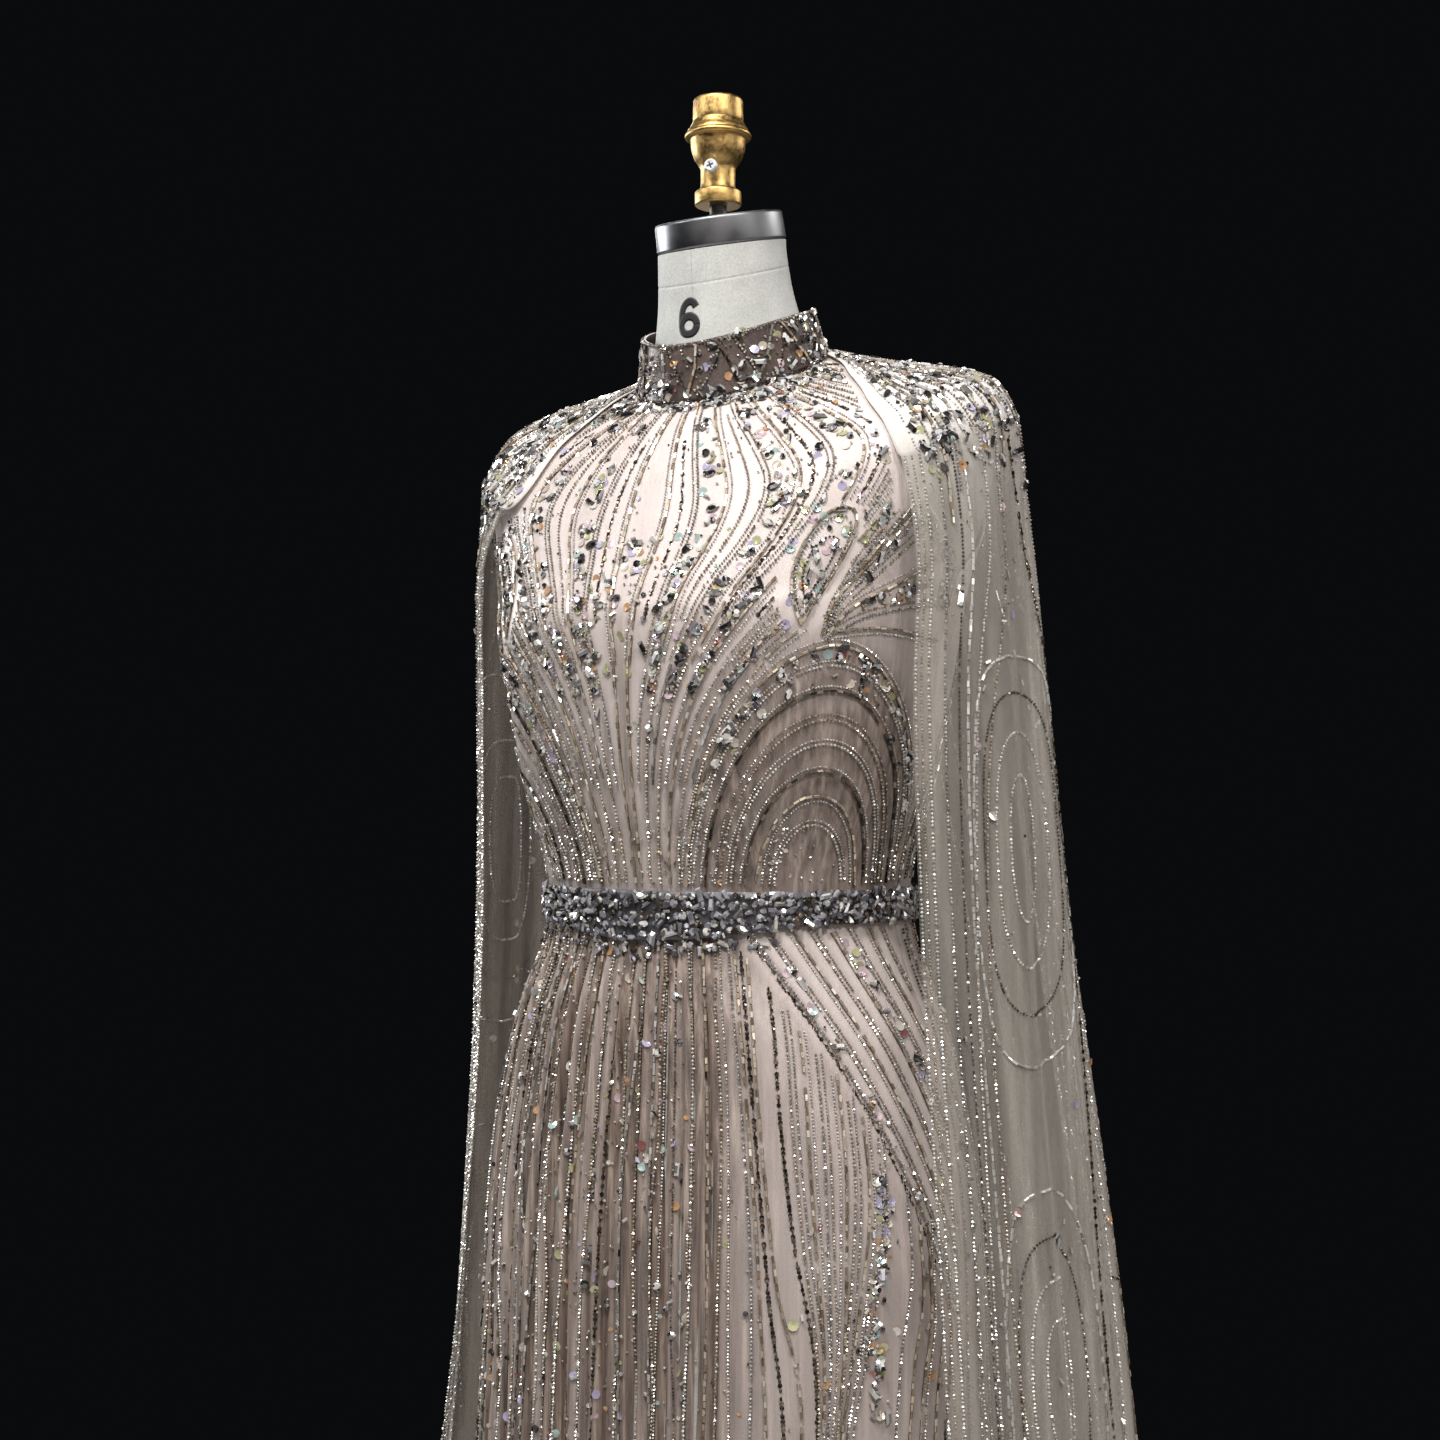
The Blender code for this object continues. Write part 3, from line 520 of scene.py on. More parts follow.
def linen_material():
    """The form's off-white linen with a fine plain weave, and a seam down the front of its neck."""
    n = Nodes("form_linen")
    n.set(Roughness=0.85, Sheen_Weight=0.15)
    slubs = n.maths("MULTIPLY_ADD", n.noise(700.0), 0.6, n.maths("MULTIPLY", n.noise(60.0, detail=6), 0.4))
    cloth = n.ramp(slubs, ((0.36, (0.400, 0.402, 0.380)), (0.64, (0.530, 0.531, 0.505))))
    spot = n.add("ShaderNodeSeparateXYZ")
    n.link(n.place, spot.inputs[0])
    off_seam = n.maths("ABSOLUTE", n.maths("SUBTRACT", spot.outputs["X"], NECK_SEAM_X))
    in_front = n.span(spot.outputs["Y"], 0.0, -0.01)
    seam = n.maths("MULTIPLY", n.span(off_seam, 0.00012, NECK_SEAM_HALF_WIDTH, 0.40, 0.0), in_front)
    across = n.noise(1.0, detail=2, stretch=(420, 420, 2600))
    upright = n.noise(1.0, detail=2, stretch=(2600, 2600, 420))
    weave = n.bump(n.maths("ADD", across, upright), 0.40, 0.0004)
    return n.finish(n.blend(seam, cloth, (0.20, 0.20, 0.19)), normal=weave)


def metal_material(name, low, high, roughness, scale=30.0, metallic=1.0, bump=0.0):
    """A metal whose colour and roughness drift over its surface."""
    n = Nodes(name)
    n.set(Metallic=metallic, Roughness=roughness)
    patches = n.noise(scale, detail=6)
    grain = n.bump(n.noise(scale * 9, detail=4), bump, 0.0004) if bump else None
    return n.finish(n.ramp(patches, ((0.3, low), (0.7, high))),
                    n.span(patches, 0.3, 0.7, roughness * 0.75, roughness * 1.35), grain)


GOWN = gown_material()
SHEER = cape_material()
MAUVE = simple_material("mauve_satin", 40.0, 5, (0.040, 0.026, 0.021), (0.098, 0.066, 0.054),
                        lambda n: n.bump(net(n, 0.0012), 0.4, 0.0004),
                        Roughness=0.34, Sheen_Weight=0.04, Specular_IOR_Level=0.35)
# The belt's dark backing shows only between its stones
PEWTER = simple_material("pewter_backing", 160.0, 4, (0.06, 0.060, 0.068), (0.17, 0.168, 0.180),
                         lambda n: n.bump(n.noise(700.0), 0.6, 0.0005), Metallic=0.5, Roughness=0.45)
TAPE = simple_material("zip_tape_weave", 300.0, 3, (0.40, 0.31, 0.25), (0.54, 0.44, 0.37),
                       lambda n: n.bump(n.noise(900.0), 0.5, 0.0003), Roughness=0.65)
# Black ink of the neck's number, also used as painted shade in the screw's cross recess
INK_AND_RECESS_SHADE = simple_material("number_ink_and_recess_shade", 120.0, 3, (0.004, 0.004, 0.005), (0.010, 0.010, 0.011),
                      Roughness=0.60)
FLOOR = simple_material("pale_floor", 3.0, 4, (0.66, 0.655, 0.645), (0.70, 0.695, 0.685), Roughness=0.7)
# Every bead finish paints shade towards each bead's foot and glints on its faces
CHAMPAGNE = per_bead("champagne_beads", (
    (0.88, 0.76, 0.60), (0.58, 0.455, 0.33), (0.78, 0.66, 0.51), (0.34, 0.250, 0.170), (0.94, 0.87, 0.75),
    (0.70, 0.575, 0.43), (0.46, 0.355, 0.255),
), 0.33, 0.20, coat=0.9, shaded_rim=(0.034, 0.026, 0.019), lit=(0.22, 0.70))
SILVER = per_bead("silver_beads", (
    (0.80, 0.77, 0.72), (0.50, 0.465, 0.42), (0.92, 0.90, 0.87), (0.28, 0.255, 0.23), (0.70, 0.67, 0.62),
    (0.60, 0.56, 0.51), (0.40, 0.375, 0.34),
), 0.38, 0.17, coat=0.9, lit=(0.24, 0.72))
DARK = per_bead("bronze_beads", (
    (0.050, 0.036, 0.027), (0.16, 0.115, 0.080), (0.080, 0.060, 0.046), (0.30, 0.225, 0.160),
), 0.5, 0.20, coat=1.0, shaded_rim=(0.012, 0.010, 0.009))
BRIGHT = per_bead("bright_beads", (
    (0.92, 0.90, 0.86), (0.74, 0.69, 0.62), (0.96, 0.95, 0.93), (0.50, 0.45, 0.39), (0.86, 0.82, 0.76),
), 0.30, 0.16, coat=1.0, shaded_rim=(0.09, 0.078, 0.064), lit=(0.06, 0.50), dull=0.42)
# Stones whose faces run from near black to white as painted glints and reflections
CRYSTAL = per_bead("crystal_painted_glints", (
    (0.97, 0.97, 0.98), (0.34, 0.33, 0.35), (0.98, 0.97, 0.95), (0.12, 0.112, 0.115), (0.92, 0.89, 0.86),
    (0.48, 0.47, 0.50), (0.96, 0.93, 0.88), (0.07, 0.064, 0.066), (0.97, 0.96, 0.94),
), 0.36, 0.09, coat=1.0, shaded_rim=(0.018, 0.016, 0.017), lit=(0.05, 0.50), dull=0.015, sharp=0.07)
BELT_CRYSTAL = per_bead("smoky_crystal", (
    (0.66, 0.645, 0.70), (0.86, 0.85, 0.88), (0.46, 0.445, 0.50), (0.32, 0.305, 0.35), (0.76, 0.73, 0.745),
    (0.97, 0.96, 0.97), (0.22, 0.21, 0.235), (0.58, 0.565, 0.60), (0.90, 0.86, 0.80),
), 0.38, 0.10, coat=1.0, shaded_rim=(0.036, 0.033, 0.037), lit=(0.03, 0.46), dull=0.13, sharp=0.11)
PAILLETTE = paillette_material()
LINEN = linen_material()
CHROME = metal_material("dark_chrome", (0.17, 0.174, 0.182), (0.26, 0.264, 0.275), 0.38)
GOLD = metal_material("gold_paint", (0.43, 0.262, 0.088), (0.60, 0.405, 0.158), 0.36, scale=400.0, bump=0.25)
STEEL = metal_material("screw_steel", (0.66, 0.68, 0.72), (0.84, 0.86, 0.90), 0.26, metallic=0.25)
STAND = metal_material("stand_black", (0.035, 0.035, 0.036), (0.06, 0.06, 0.06), 0.40, metallic=0.3)


# ---------------- bead shapes

def closed_rings(rings, sides):
    """Triangles of the walls between rings of equally many points, and of the first and the last ring."""
    faces = []
    for base in range(0, (rings - 1) * sides, sides):
        for j in range(sides):
            n = (j + 1) % sides
            faces += [(base + j, base + n, base + sides + n), (base + j, base + sides + n, base + sides + j)]
    last = (rings - 1) * sides
    for j in range(1, sides - 1):
        faces += [(0, j + 1, j), (last, last + j, last + j + 1)]
    return np.array(faces)


BUGLE_SIDES = 4


def prism_shape(length, radius):
    """A bugle bead along +X, standing on z = 0."""
    around = (np.arange(BUGLE_SIDES) + 0.5) * 2 * math.pi / BUGLE_SIDES
    ring = [(radius * math.cos(a), radius * math.sin(a) + radius) for a in around]
    points = [(x, y, z) for x in (-length / 2, length / 2) for y, z in ring]
    return np.array(points), closed_rings(2, BUGLE_SIDES)


def round_shape(radius):
    """A small round bead of eight faces, as wide as it is tall."""
    points = np.array(((1, 0, 0), (0, 1, 0), (-1, 0, 0), (0, -1, 0), (0, 0, 1), (0, 0, -1)), float) * radius
    points[:, 2] += radius
    faces = [(j, (j + 1) % 4, 4) for j in range(4)] + [((j + 1) % 4, j, 5) for j in range(4)]
    return points, np.array(faces)


def stone_shape(length, width, height, sides=8, pointed=0.0):
    """A faceted stone: a low wall, a girdle and a smaller flat table on top."""
    around = (np.arange(sides) + 0.5) * 2 * math.pi / sides
    shape = np.stack((np.cos(around), np.sin(around)), axis=-1)
    shape[:, 1] *= 1 - pointed * np.abs(shape[:, 0]) ** 2
    # share of the width, share of the height
    rings = ((0.80, 0.0), (1.0, 0.42), (0.58, 1.0))
    points = [(x * s * length / 2, y * s * width / 2, h * height) for s, h in rings for x, y in shape]
    return np.array(points), closed_rings(3, sides)


def baguette_shape(length, width, height):
    """A step-cut oblong stone, as a four-sided stone whose corners reach its length and width."""
    corner = math.sqrt(2)
    return stone_shape(length * corner, width * corner, height, sides=4)


def disc_shape(radius, thickness, sides=8):
    """A thin cupped disc."""
    around = np.arange(sides) * 2 * math.pi / sides
    points = [(radius * math.cos(a), radius * math.sin(a), thickness * 2.4) for a in around]
    points += [(0, 0, thickness * 1.4), (0, 0, 0)]
    faces = []
    for j in range(sides):
        n = (j + 1) % sides
        faces += [(j, n, sides), (n, j, sides + 1)]
    return np.array(points), np.array(faces)


SHAPES = {
    "seed": round_shape(0.00115),
    "seed_small": round_shape(0.00088),
    "bugle": prism_shape(0.0039, 0.00105),
    "round_stone": stone_shape(0.0058, 0.0058, 0.0028),
    "small_stone": stone_shape(0.0039, 0.0039, 0.0022, sides=6),
    "navette": stone_shape(0.0088, 0.0050, 0.0028, pointed=0.45),
    "baguette": baguette_shape(0.0088, 0.0034, 0.0026),
    "disc": disc_shape(0.0031, 0.00025),
    "disc_small": disc_shape(0.0016, 0.00020, sides=6),
}
# Distance from bead to bead along a string
PITCH = {"seed": 0.0025, "seed_small": 0.0021, "bugle": 0.0044, "disc_small": 0.0027}


# ---------------- laying beads

# Name of the joined mesh, finish and colour slot
BEAD_GROUPS = (
    ("champagne_beads", CHAMPAGNE, "bead_metal"),
    ("silver_beads", SILVER, "bead_metal"),
    ("bright_beads", BRIGHT, "bead_metal"),
    ("dark_beads", DARK, "bead_metal"),
    ("crystals", CRYSTAL, "belt_crystal"),
    ("smoky_crystals", BELT_CRYSTAL, "belt_crystal"),
    ("paillettes", PAILLETTE, "bead_metal"),
)


def unit(vectors):
    """The vectors, each of length one."""
    return vectors / np.maximum(np.linalg.norm(vectors, axis=-1, keepdims=True), 1e-12)


class Beading:
    """Beads of one panel, gathered by shape and finish and then joined into one mesh a finish."""

    def __init__(self, name):
        self.name = name
        self.kept = {}

    def place(self, shape, finish, points, tangents, normals, scale, roll=0.0):
        """Lay beads at points along tangents; roll, in degrees, turns each a little about its own middle."""
        if len(points) == 0:
            return
        side = unit(np.cross(normals, tangents))
        ahead = unit(np.cross(side, normals))
        turn = np.radians(RANDOM.normal(0, 1, len(points)) * roll)[:, None]
        up = unit(normals) * np.cos(turn) + side * np.sin(turn)
        middle = SHAPES[shape][0][:, 2].max() / 2 * scale[:, None]
        points = points + (unit(normals) - up) * middle
        axes = np.stack((ahead, np.cross(up, ahead), up), axis=1)
        self.kept.setdefault((shape, finish.name), []).append((points, axes, scale))

    def build(self):
        """One object for each finish."""
        made = []
        for group, finish, slot in BEAD_GROUPS:
            points, faces, tops, start = [], [], [], 0
            for shape, batch in self.batches(finish):
                form, form_faces = SHAPES[shape]
                place, axes, scale = batch
                body = np.einsum("vk,nkc->nvc", form, axes) * scale[:, None, None] + place[:, None, :]
                offsets = start + np.arange(len(place))[:, None, None] * len(form)
                points.append(body.reshape(-1, 3))
                faces.append((form_faces[None] + offsets).reshape(-1, 3))
                # Each point's share of its bead's height, which the bead finishes read for their painted
                # shade
                tops.append(np.tile(form[:, 2] / form[:, 2].max(), len(place)))
                start += len(place) * len(form)
            if points:
                name = f"{self.name}_{group}"
                piece = new_object(name, np.concatenate(points), np.concatenate(faces), finish, smooth=False)
                mark(piece, "top", np.concatenate(tops))
                made.append(settle(piece, slot))
        return made

    def batches(self, finish):
        """What was laid in one finish, as (shape, (points, axes, sizes))."""
        return [(shape, batch) for (shape, name), laid in self.kept.items() if name == finish.name
                for batch in laid]


def smooth_line(controls, samples):
    """A smooth curve through control points, as an array of points."""
    controls = np.asarray(controls, float)
    return along(controls, np.linspace(0, len(controls) - 1, samples))


# Double lines: how far apart their two strings lie, and the shapes and finishes of the two
TWIN_APART = 0.0036
TWIN_KINDS = (
    (("bugle", "seed_small"), (CHAMPAGNE, BRIGHT)),
    (("seed", "seed_small"), (SILVER, CHAMPAGNE)),
    (("seed_small", "bugle"), (BRIGHT, CHAMPAGNE)),
    (("seed", "seed_small"), (CHAMPAGNE, SILVER)),
)
# How far each strung bead is turned about its string, in degrees
STRUNG_ROLL = 28.0
# Mixes of loose beads: share, shape, finish
CLUSTER_MIX = (
    (0.14, "seed", BRIGHT), (0.06, "seed", DARK), (0.09, "bugle", BRIGHT), (0.14, "small_stone", CRYSTAL),
    (0.38, "disc", PAILLETTE), (0.06, "round_stone", CRYSTAL), (0.06, "navette", CRYSTAL),
    (0.07, "baguette", CRYSTAL),
)
NECK_MIX = (
    (0.16, "small_stone", CRYSTAL), (0.12, "navette", CRYSTAL), (0.13, "baguette", CRYSTAL),
    (0.18, "seed", BRIGHT), (0.13, "bugle", BRIGHT), (0.06, "seed", DARK), (0.22, "disc", PAILLETTE),
)
FINE_MIX = (
    (0.40, "seed_small", CHAMPAGNE), (0.34, "seed_small", BRIGHT), (0.11, "seed_small", DARK),
    (0.15, "disc_small", PAILLETTE),
)
SKIRT_MIX = (
    (0.38, "disc", PAILLETTE), (0.20, "seed", BRIGHT), (0.10, "seed", DARK), (0.14, "bugle", BRIGHT),
    (0.11, "small_stone", CRYSTAL), (0.04, "round_stone", CRYSTAL), (0.03, "baguette", CRYSTAL),
)
BELT_MIX = (
    (0.26, "round_stone", BELT_CRYSTAL), (0.18, "small_stone", BELT_CRYSTAL), (0.17, "navette", BELT_CRYSTAL),
    (0.19, "baguette", BELT_CRYSTAL), (0.14, "small_stone", DARK), (0.06, "navette", DARK),
)
# Small beads between the belt's stones
BELT_FILL = ((0.55, "seed", DARK), (0.3, "seed", SILVER), (0.15, "bugle", SILVER))
# How far loose beads lean off the cloth on the skirt and the capes, and on the shoulders and the collar
LOOSE_TILT, SHOULDER_TILT = 0.35, 0.3


class Chart:
    """A panel's surface, and the ways to lay a beading on it at (angle, row) points."""

    def __init__(self, beading, surface, lift=None, keep=None, raised=0.0):
        self.beading, self.surface, self.lift, self.keep, self.raised = beading, surface, lift, keep, raised

    def outer(self, angle, row):
        """The panel's outer face, with its folds."""
        base = self.surface(angle, row)
        lifted = self.lift(angle, row) if self.lift else np.zeros(np.shape(angle))
        return base + surface_normal(self.surface, angle, row) * (lifted + self.raised)[..., None]

    def lay(self, angle, row):
        """Points on the outer face, and its normals there."""
        return self.outer(angle, row), surface_normal(self.outer, angle, row)

    def inside(self, angle, row):
        """Where a bead may lie."""
        return self.keep(angle, row) if self.keep else np.ones(np.shape(angle), bool)

    def string(self, path, shape, finish, fill=0.97, jitter=0.08):
        """A string of beads along a path; fill below 1 leaves gaps in it."""
        pitch = PITCH[shape]
        points, normals = self.lay(*path.T)
        run = np.concatenate(((0.0,), np.cumsum(np.linalg.norm(np.diff(points, axis=0), axis=1))))
        stations = np.arange(pitch / 2, run[-1], pitch)
        stations = stations + RANDOM.uniform(-jitter, jitter, len(stations)) * pitch
        stations = stations[RANDOM.random(len(stations)) < fill]

        def sample(table, at):
            return np.stack([np.interp(at, run, table[:, k]) for k in range(table.shape[1])], axis=-1)

        tangent = sample(points, stations + pitch / 4) - sample(points, stations - pitch / 4)
        kept = self.inside(*sample(path, stations).T) & (np.linalg.norm(tangent, axis=1) > 1e-9)
        sizes = RANDOM.uniform(0.90, 1.08, len(stations))
        place, normal = sample(points, stations), sample(normals, stations)
        self.beading.place(shape, finish, place[kept], tangent[kept], normal[kept], sizes[kept], STRUNG_ROLL)

    def beside(self, path, distance):
        """A path moved sideways on its panel by a distance in metres."""
        angles, rows = path.T
        points, normals = self.lay(angles, rows)
        sideways = unit(np.cross(normals, np.gradient(points, axis=0)))
        turn, step = 0.5, 0.02
        # How the place changes with the angle and with the row, and from that what moves it sideways
        by_angle = (self.outer(angles + turn, rows) - points) / turn
        by_row = (self.outer(angles, rows + step) - points) / step
        aa, bb = np.sum(by_angle ** 2, 1), np.sum(by_row ** 2, 1)
        ab = np.sum(by_angle * by_row, 1)
        sa, sb = np.sum(sideways * by_angle, 1), np.sum(sideways * by_row, 1)
        det = np.maximum(aa * bb - ab * ab, 1e-18)
        return path + distance * np.stack(((sa * bb - sb * ab) / det, (sb * aa - sa * ab) / det), axis=-1)

    def twin(self, path, kind, fill=0.97):
        """Two strings of beads side by side, the commonest line on the gown."""
        shapes, finishes = TWIN_KINDS[kind % len(TWIN_KINDS)]
        for k, distance in enumerate((-TWIN_APART / 2, TWIN_APART / 2)):
            self.string(self.beside(path, distance), shapes[k], finishes[k], fill)

    def scatter(self, angles, rows, mix, scale=(0.85, 1.15), tilt=0.2):
        """Loose beads; mix is a list of (share, shape, finish), and tilt says how far they lean."""
        kept = self.inside(angles, rows)
        points, normals = self.lay(angles[kept], rows[kept])
        turn = RANDOM.normal(size=points.shape)
        tangents = turn - normals * np.sum(turn * normals, axis=1, keepdims=True)
        normals = unit(normals + RANDOM.normal(size=normals.shape) * tilt)
        chance, start = RANDOM.random(len(points)), 0.0
        sizes = RANDOM.uniform(*scale, len(points))
        for share, shape, finish in mix:
            taken = (chance >= start) & (chance < start + share)
            self.beading.place(shape, finish, points[taken], tangents[taken], normals[taken], sizes[taken])
            start += share

    def loose(self, angles, first_row, last_row, mix, tilt=0.2):
        """Loose beads at these angles, evenly over the rows."""
        self.scatter(angles, RANDOM.uniform(first_row, last_row, len(angles)), mix, tilt=tilt)

    def clusters(self, paths, gaps, mix=CLUSTER_MIX):
        """Loose beads between a line and the next; gaps has the line, how many, and over what span of it."""
        for k, count, span in gaps:
            one, other = paths[k], paths[k + 1]
            spot = RANDOM.uniform(*span, count)
            spot = spot + 0.012 * np.sin(spot * 90)
            index = np.clip(spot * (len(one) - 1), 0, len(one) - 1).astype(int)
            share = np.clip(RANDOM.normal(0.5, 0.17, count), 0.14, 0.86)[:, None]
            place = one[index] * (1 - share) + other[np.minimum(index, len(other) - 1)] * share
            self.scatter(*place.T, mix)


# ---------------- gown panels

# Soft creases of the bodice: angle, row, length in rows, width in degrees, depth in metres
BODICE_CREASES = (
    (-44, 6.2, 0.9, 5.0, -0.0016), (46, 6.4, 0.8, 4.5, -0.0018),
    (-62, 7.4, 0.7, 5.5, -0.0012), (64, 7.2, 0.9, 6.0, -0.0014),
    (-30, 8.3, 0.5, 4.0, -0.0009), (24, 8.4, 0.5, 3.5, -0.0010),
    (128, 6.6, 0.8, 6.0, -0.0015), (-131, 6.8, 0.7, 6.0, -0.0014),
    (112, 8.2, 0.6, 5.0, -0.0012), (-116, 8.0, 0.6, 5.0, -0.0013),
)
# Degrees that a crease slants in a row, and the height of the small gathers at the waist
CREASE_SLANT, WAIST_GATHER_HEIGHT = 6.0, 0.0007


def bodice_lift(angle, row):
    """The bodice's listed creases as soft troughs, and the small gathers that spread from the waist."""
    lift = np.zeros(np.shape(angle))
    for centre, at, length, width, depth in BODICE_CREASES:
        sideways = angle - centre - (row - at) * CREASE_SLANT
        lift = lift + depth * np.exp(-(sideways / width) ** 2 - ((row - at) / length) ** 2)
    spread = 3.6 / (1 + 1.4 * (WAIST_ROW - row))
    waist = WAIST_GATHER_HEIGHT * (0.5 + 0.5 * np.cos(angle * spread + 1.2 * np.sin(angle * 0.21)))
    lift = lift + waist * ease(row, 7.4, 8.5) * ease(np.abs(angle), 62, 35)
    return lift * ease(row, 3.0, 4.5) * (1 - ease(row, 8.6, 8.95))


# Shares of the bodice's height, 0 at the waist and 1 at the neck seam, measured up the front at this angle
UP_ANGLE, UP_SAMPLES = 25.0, 400
UP_ROWS = np.linspace(WAIST_ROW, 0, UP_SAMPLES)
UP_STEPS = np.linalg.norm(np.diff(figure(np.full(UP_SAMPLES, UP_ANGLE), UP_ROWS), axis=0), axis=1)
UP_RUN = np.concatenate(((0.0,), np.cumsum(UP_STEPS))) / UP_STEPS.sum()
# The arches under the bust: their centre and reach as such shares, and how many bands of tulle they have
ARCH_CENTRE, ARCH_REACH, ARCH_BANDS = (0.60, 0.06), 0.42, 7.5
# The outermost fan line: share of the half width at shares of the height
FAN_EDGE = ((0.18, 0.0), (0.185, 0.15), (0.25, 0.30), (0.38, 0.42), (0.62, 0.55), (0.90, 0.75), (1.02, 1.0))
FAN_LINES = 11


def armhole_edge(row, column):
    """The angle of the armhole's front (column 0) or back (column 1) edge at each row."""
    return np.where((row >= ARMPIT_ROW) | (row <= SHOULDER_ROW), SIDE, along(ARMHOLE, row)[..., column])


def zip_angle(row):
    """The zip's half width as an angle round the figure."""
    reach = np.linalg.norm(figure(BACK, row) - figure(BACK - 4, row), axis=-1) / 4
    return ZIP_HALF_WIDTH / reach


def bodice_tone(angle, row):
    """More tulle lies over the satin within the arches under the bust; below the bust towards the waist there
    is more tulle and painted shade, and towards the side seams painted shade.
    """
    below_bust_shade_and_tulle = ease(row, 6.3, 7.8)
    side_shade = ease(np.abs(np.abs(angle) - SIDE), 45, 5) * ease(row, 5.0, 7.0)
    up = np.interp(-row, -UP_ROWS, UP_RUN)
    across, above = np.abs(angle) / SIDE - ARCH_CENTRE[0], up - ARCH_CENTRE[1]
    reach = np.hypot(across / ARCH_REACH, above / ARCH_REACH)
    under_arch = 1 - ease(reach, 0.90, 1.04)
    fan_share = np.abs(angle) / SIDE / np.interp(up, *np.array(FAN_EDGE).T[::-1])
    strips = np.cos(math.pi * FAN_LINES * fan_share) * (1 - under_arch) * (1 - ease(fan_share, 1.0, 1.15))
    bands = np.cos(2 * math.pi * ARCH_BANDS * reach) * under_arch
    # The terms below the bust and towards the side seams darken the tone partly as painted shade
    total = 0.05 + 0.32 * below_bust_shade_and_tulle + 0.40 * under_arch + 0.16 * side_shade * (1 - 0.5 * below_bust_shade_and_tulle)
    return np.clip(total + (0.07 + 0.19 * below_bust_shade_and_tulle) * strips + 0.12 * bands, 0, 0.9)


SEAM_GAP_ANGLE = 0.05


def cloth_panel(node, suffix, surface, angles, rows, finish, slot, lift=None, tones=None, thickness=CLOTH):
    """A closed shell of cloth that stands for a solid, on a grid of angles and a run of rows."""
    rows = np.broadcast_to(np.asarray(rows, float)[:, None], angles.shape)
    point, normal = surface(angles, rows), surface_normal(surface, angles, rows)
    raised = lift(angles, rows) if lift else np.zeros(angles.shape)
    outer = point + normal * raised[..., None]
    inner = point + normal * (raised - thickness)[..., None]
    points, faces = closed_wall(outer, inner)
    made = new_object(f"{node}_{suffix}", points, faces, finish)
    if tones:
        mark(made, "tone", np.tile(tones(angles, rows).reshape(-1), 2))
    return settle(made, slot, node)


def gown_panel(node, start, end, columns, rows, lift, tones):
    """A panel of satin under tulle between two edges."""
    angles = angle_grid(start, end, columns, len(rows))
    return cloth_panel(node, "cloth", figure, angles, rows, GOWN, "gown_tulle", lift, tones)


def make_bodice():
    rows = np.concatenate((np.linspace(0, 6, 46), np.linspace(6, WAIST_ROW - 0.002, 34)[1:]))
    edge = armhole_edge(rows, 0) - SEAM_GAP_ANGLE
    start, end = armhole_edge(rows, 1) + SEAM_GAP_ANGLE, BACK - zip_angle(rows) - SEAM_GAP_ANGLE
    front = gown_panel("bodice_front", -edge, edge, 90, rows, bodice_lift, bodice_tone)
    left = gown_panel("bodice_back_left", start, end, 36, rows, bodice_lift, bodice_tone)
    right = gown_panel("bodice_back_right", -end, -start, 36, rows, bodice_lift, bodice_tone)
    return front, left, right


BELT_FOOT_Z = 1.052
# Lines that sweep from the belt to the wearer's left seam: how many, the first one's angle at the belt, the
# step from line to line, how far they turn, over what height, and the line that wouldn't turn at all
SWEEP_LINES, SWEEP_FROM, SWEEP_STEP, SWEEP_TURN, SWEEP_DROP = 8, 30.5, 7.2, 105.0, 0.36
SWEEP_CLOSE = 17.6
SWEEP_FOLD = 0.0022


def sweep_run(z):
    return 1 - np.exp(-np.maximum(BELT_FOOT_Z - z, 0) / SWEEP_DROP)


def sweep_angle(k, z):
    """The angle of sweep line k at a height."""
    return SWEEP_FROM + SWEEP_STEP * k + SWEEP_TURN * (1 - k / SWEEP_CLOSE) * sweep_run(z)


def sweep_place(angle, z):
    """Which sweep line passes a point: whole numbers are the lines themselves, and below 0 lies the leaf."""
    turned = SWEEP_TURN * sweep_run(z)
    return (angle - SWEEP_FROM - turned) / (SWEEP_STEP - turned / SWEEP_CLOSE)


def sweep_share(angle, z):
    """1 on the smooth satin above the first sweep line, 0 off it."""
    place = sweep_place(angle, z)
    return ease(place, -0.8, 0.0) * (1 - ease(angle, 80, 90)) * ease(angle, 22, 30) * ease(z, 1.055, 1.035)


def sweep_folds(angle, row):
    """Soft ridges of the satin that run along the sweep lines, uneven in height."""
    z = figure(angle, row)[..., 2]
    place = sweep_place(angle, z)
    uneven = 0.75 + 0.25 * np.sin(place * 1.9 + 1.0)
    return SWEEP_FOLD * uneven * sweep_share(angle, z) * (0.5 - 0.5 * np.cos(2 * math.pi * place))


# Small folds within the gathers: folds in a degree, how much they wander, height in metres
FINE_FOLDS = ((0.29, 1.9, 0.00190), (0.47, 2.6, 0.00110), (0.83, 1.4, 0.00040))


def fine_folds(angle, row):
    """The uneven small folds of the gathered tulle, which lie on the broad gathers."""
    z = figure(angle, row)[..., 2]
    lift = np.zeros(np.shape(z))
    for k, (count, wander, depth) in enumerate(FINE_FOLDS):
        drift = wander * np.sin(z * (7 + 4 * k) + k) + 0.8 * np.sin(angle * 0.13 + 2 * k)
        lift = lift + depth * np.sin(2 * math.pi * count * angle + drift)
    return lift * ease(z, 1.045, 1.000) * ease(angle, -90, -78) * (1 - ease(angle, 18, 28))


def skirt_front_lift(angle, row):
    return gathers(angle, row) + fine_folds(angle, row) + sweep_folds(angle, row)


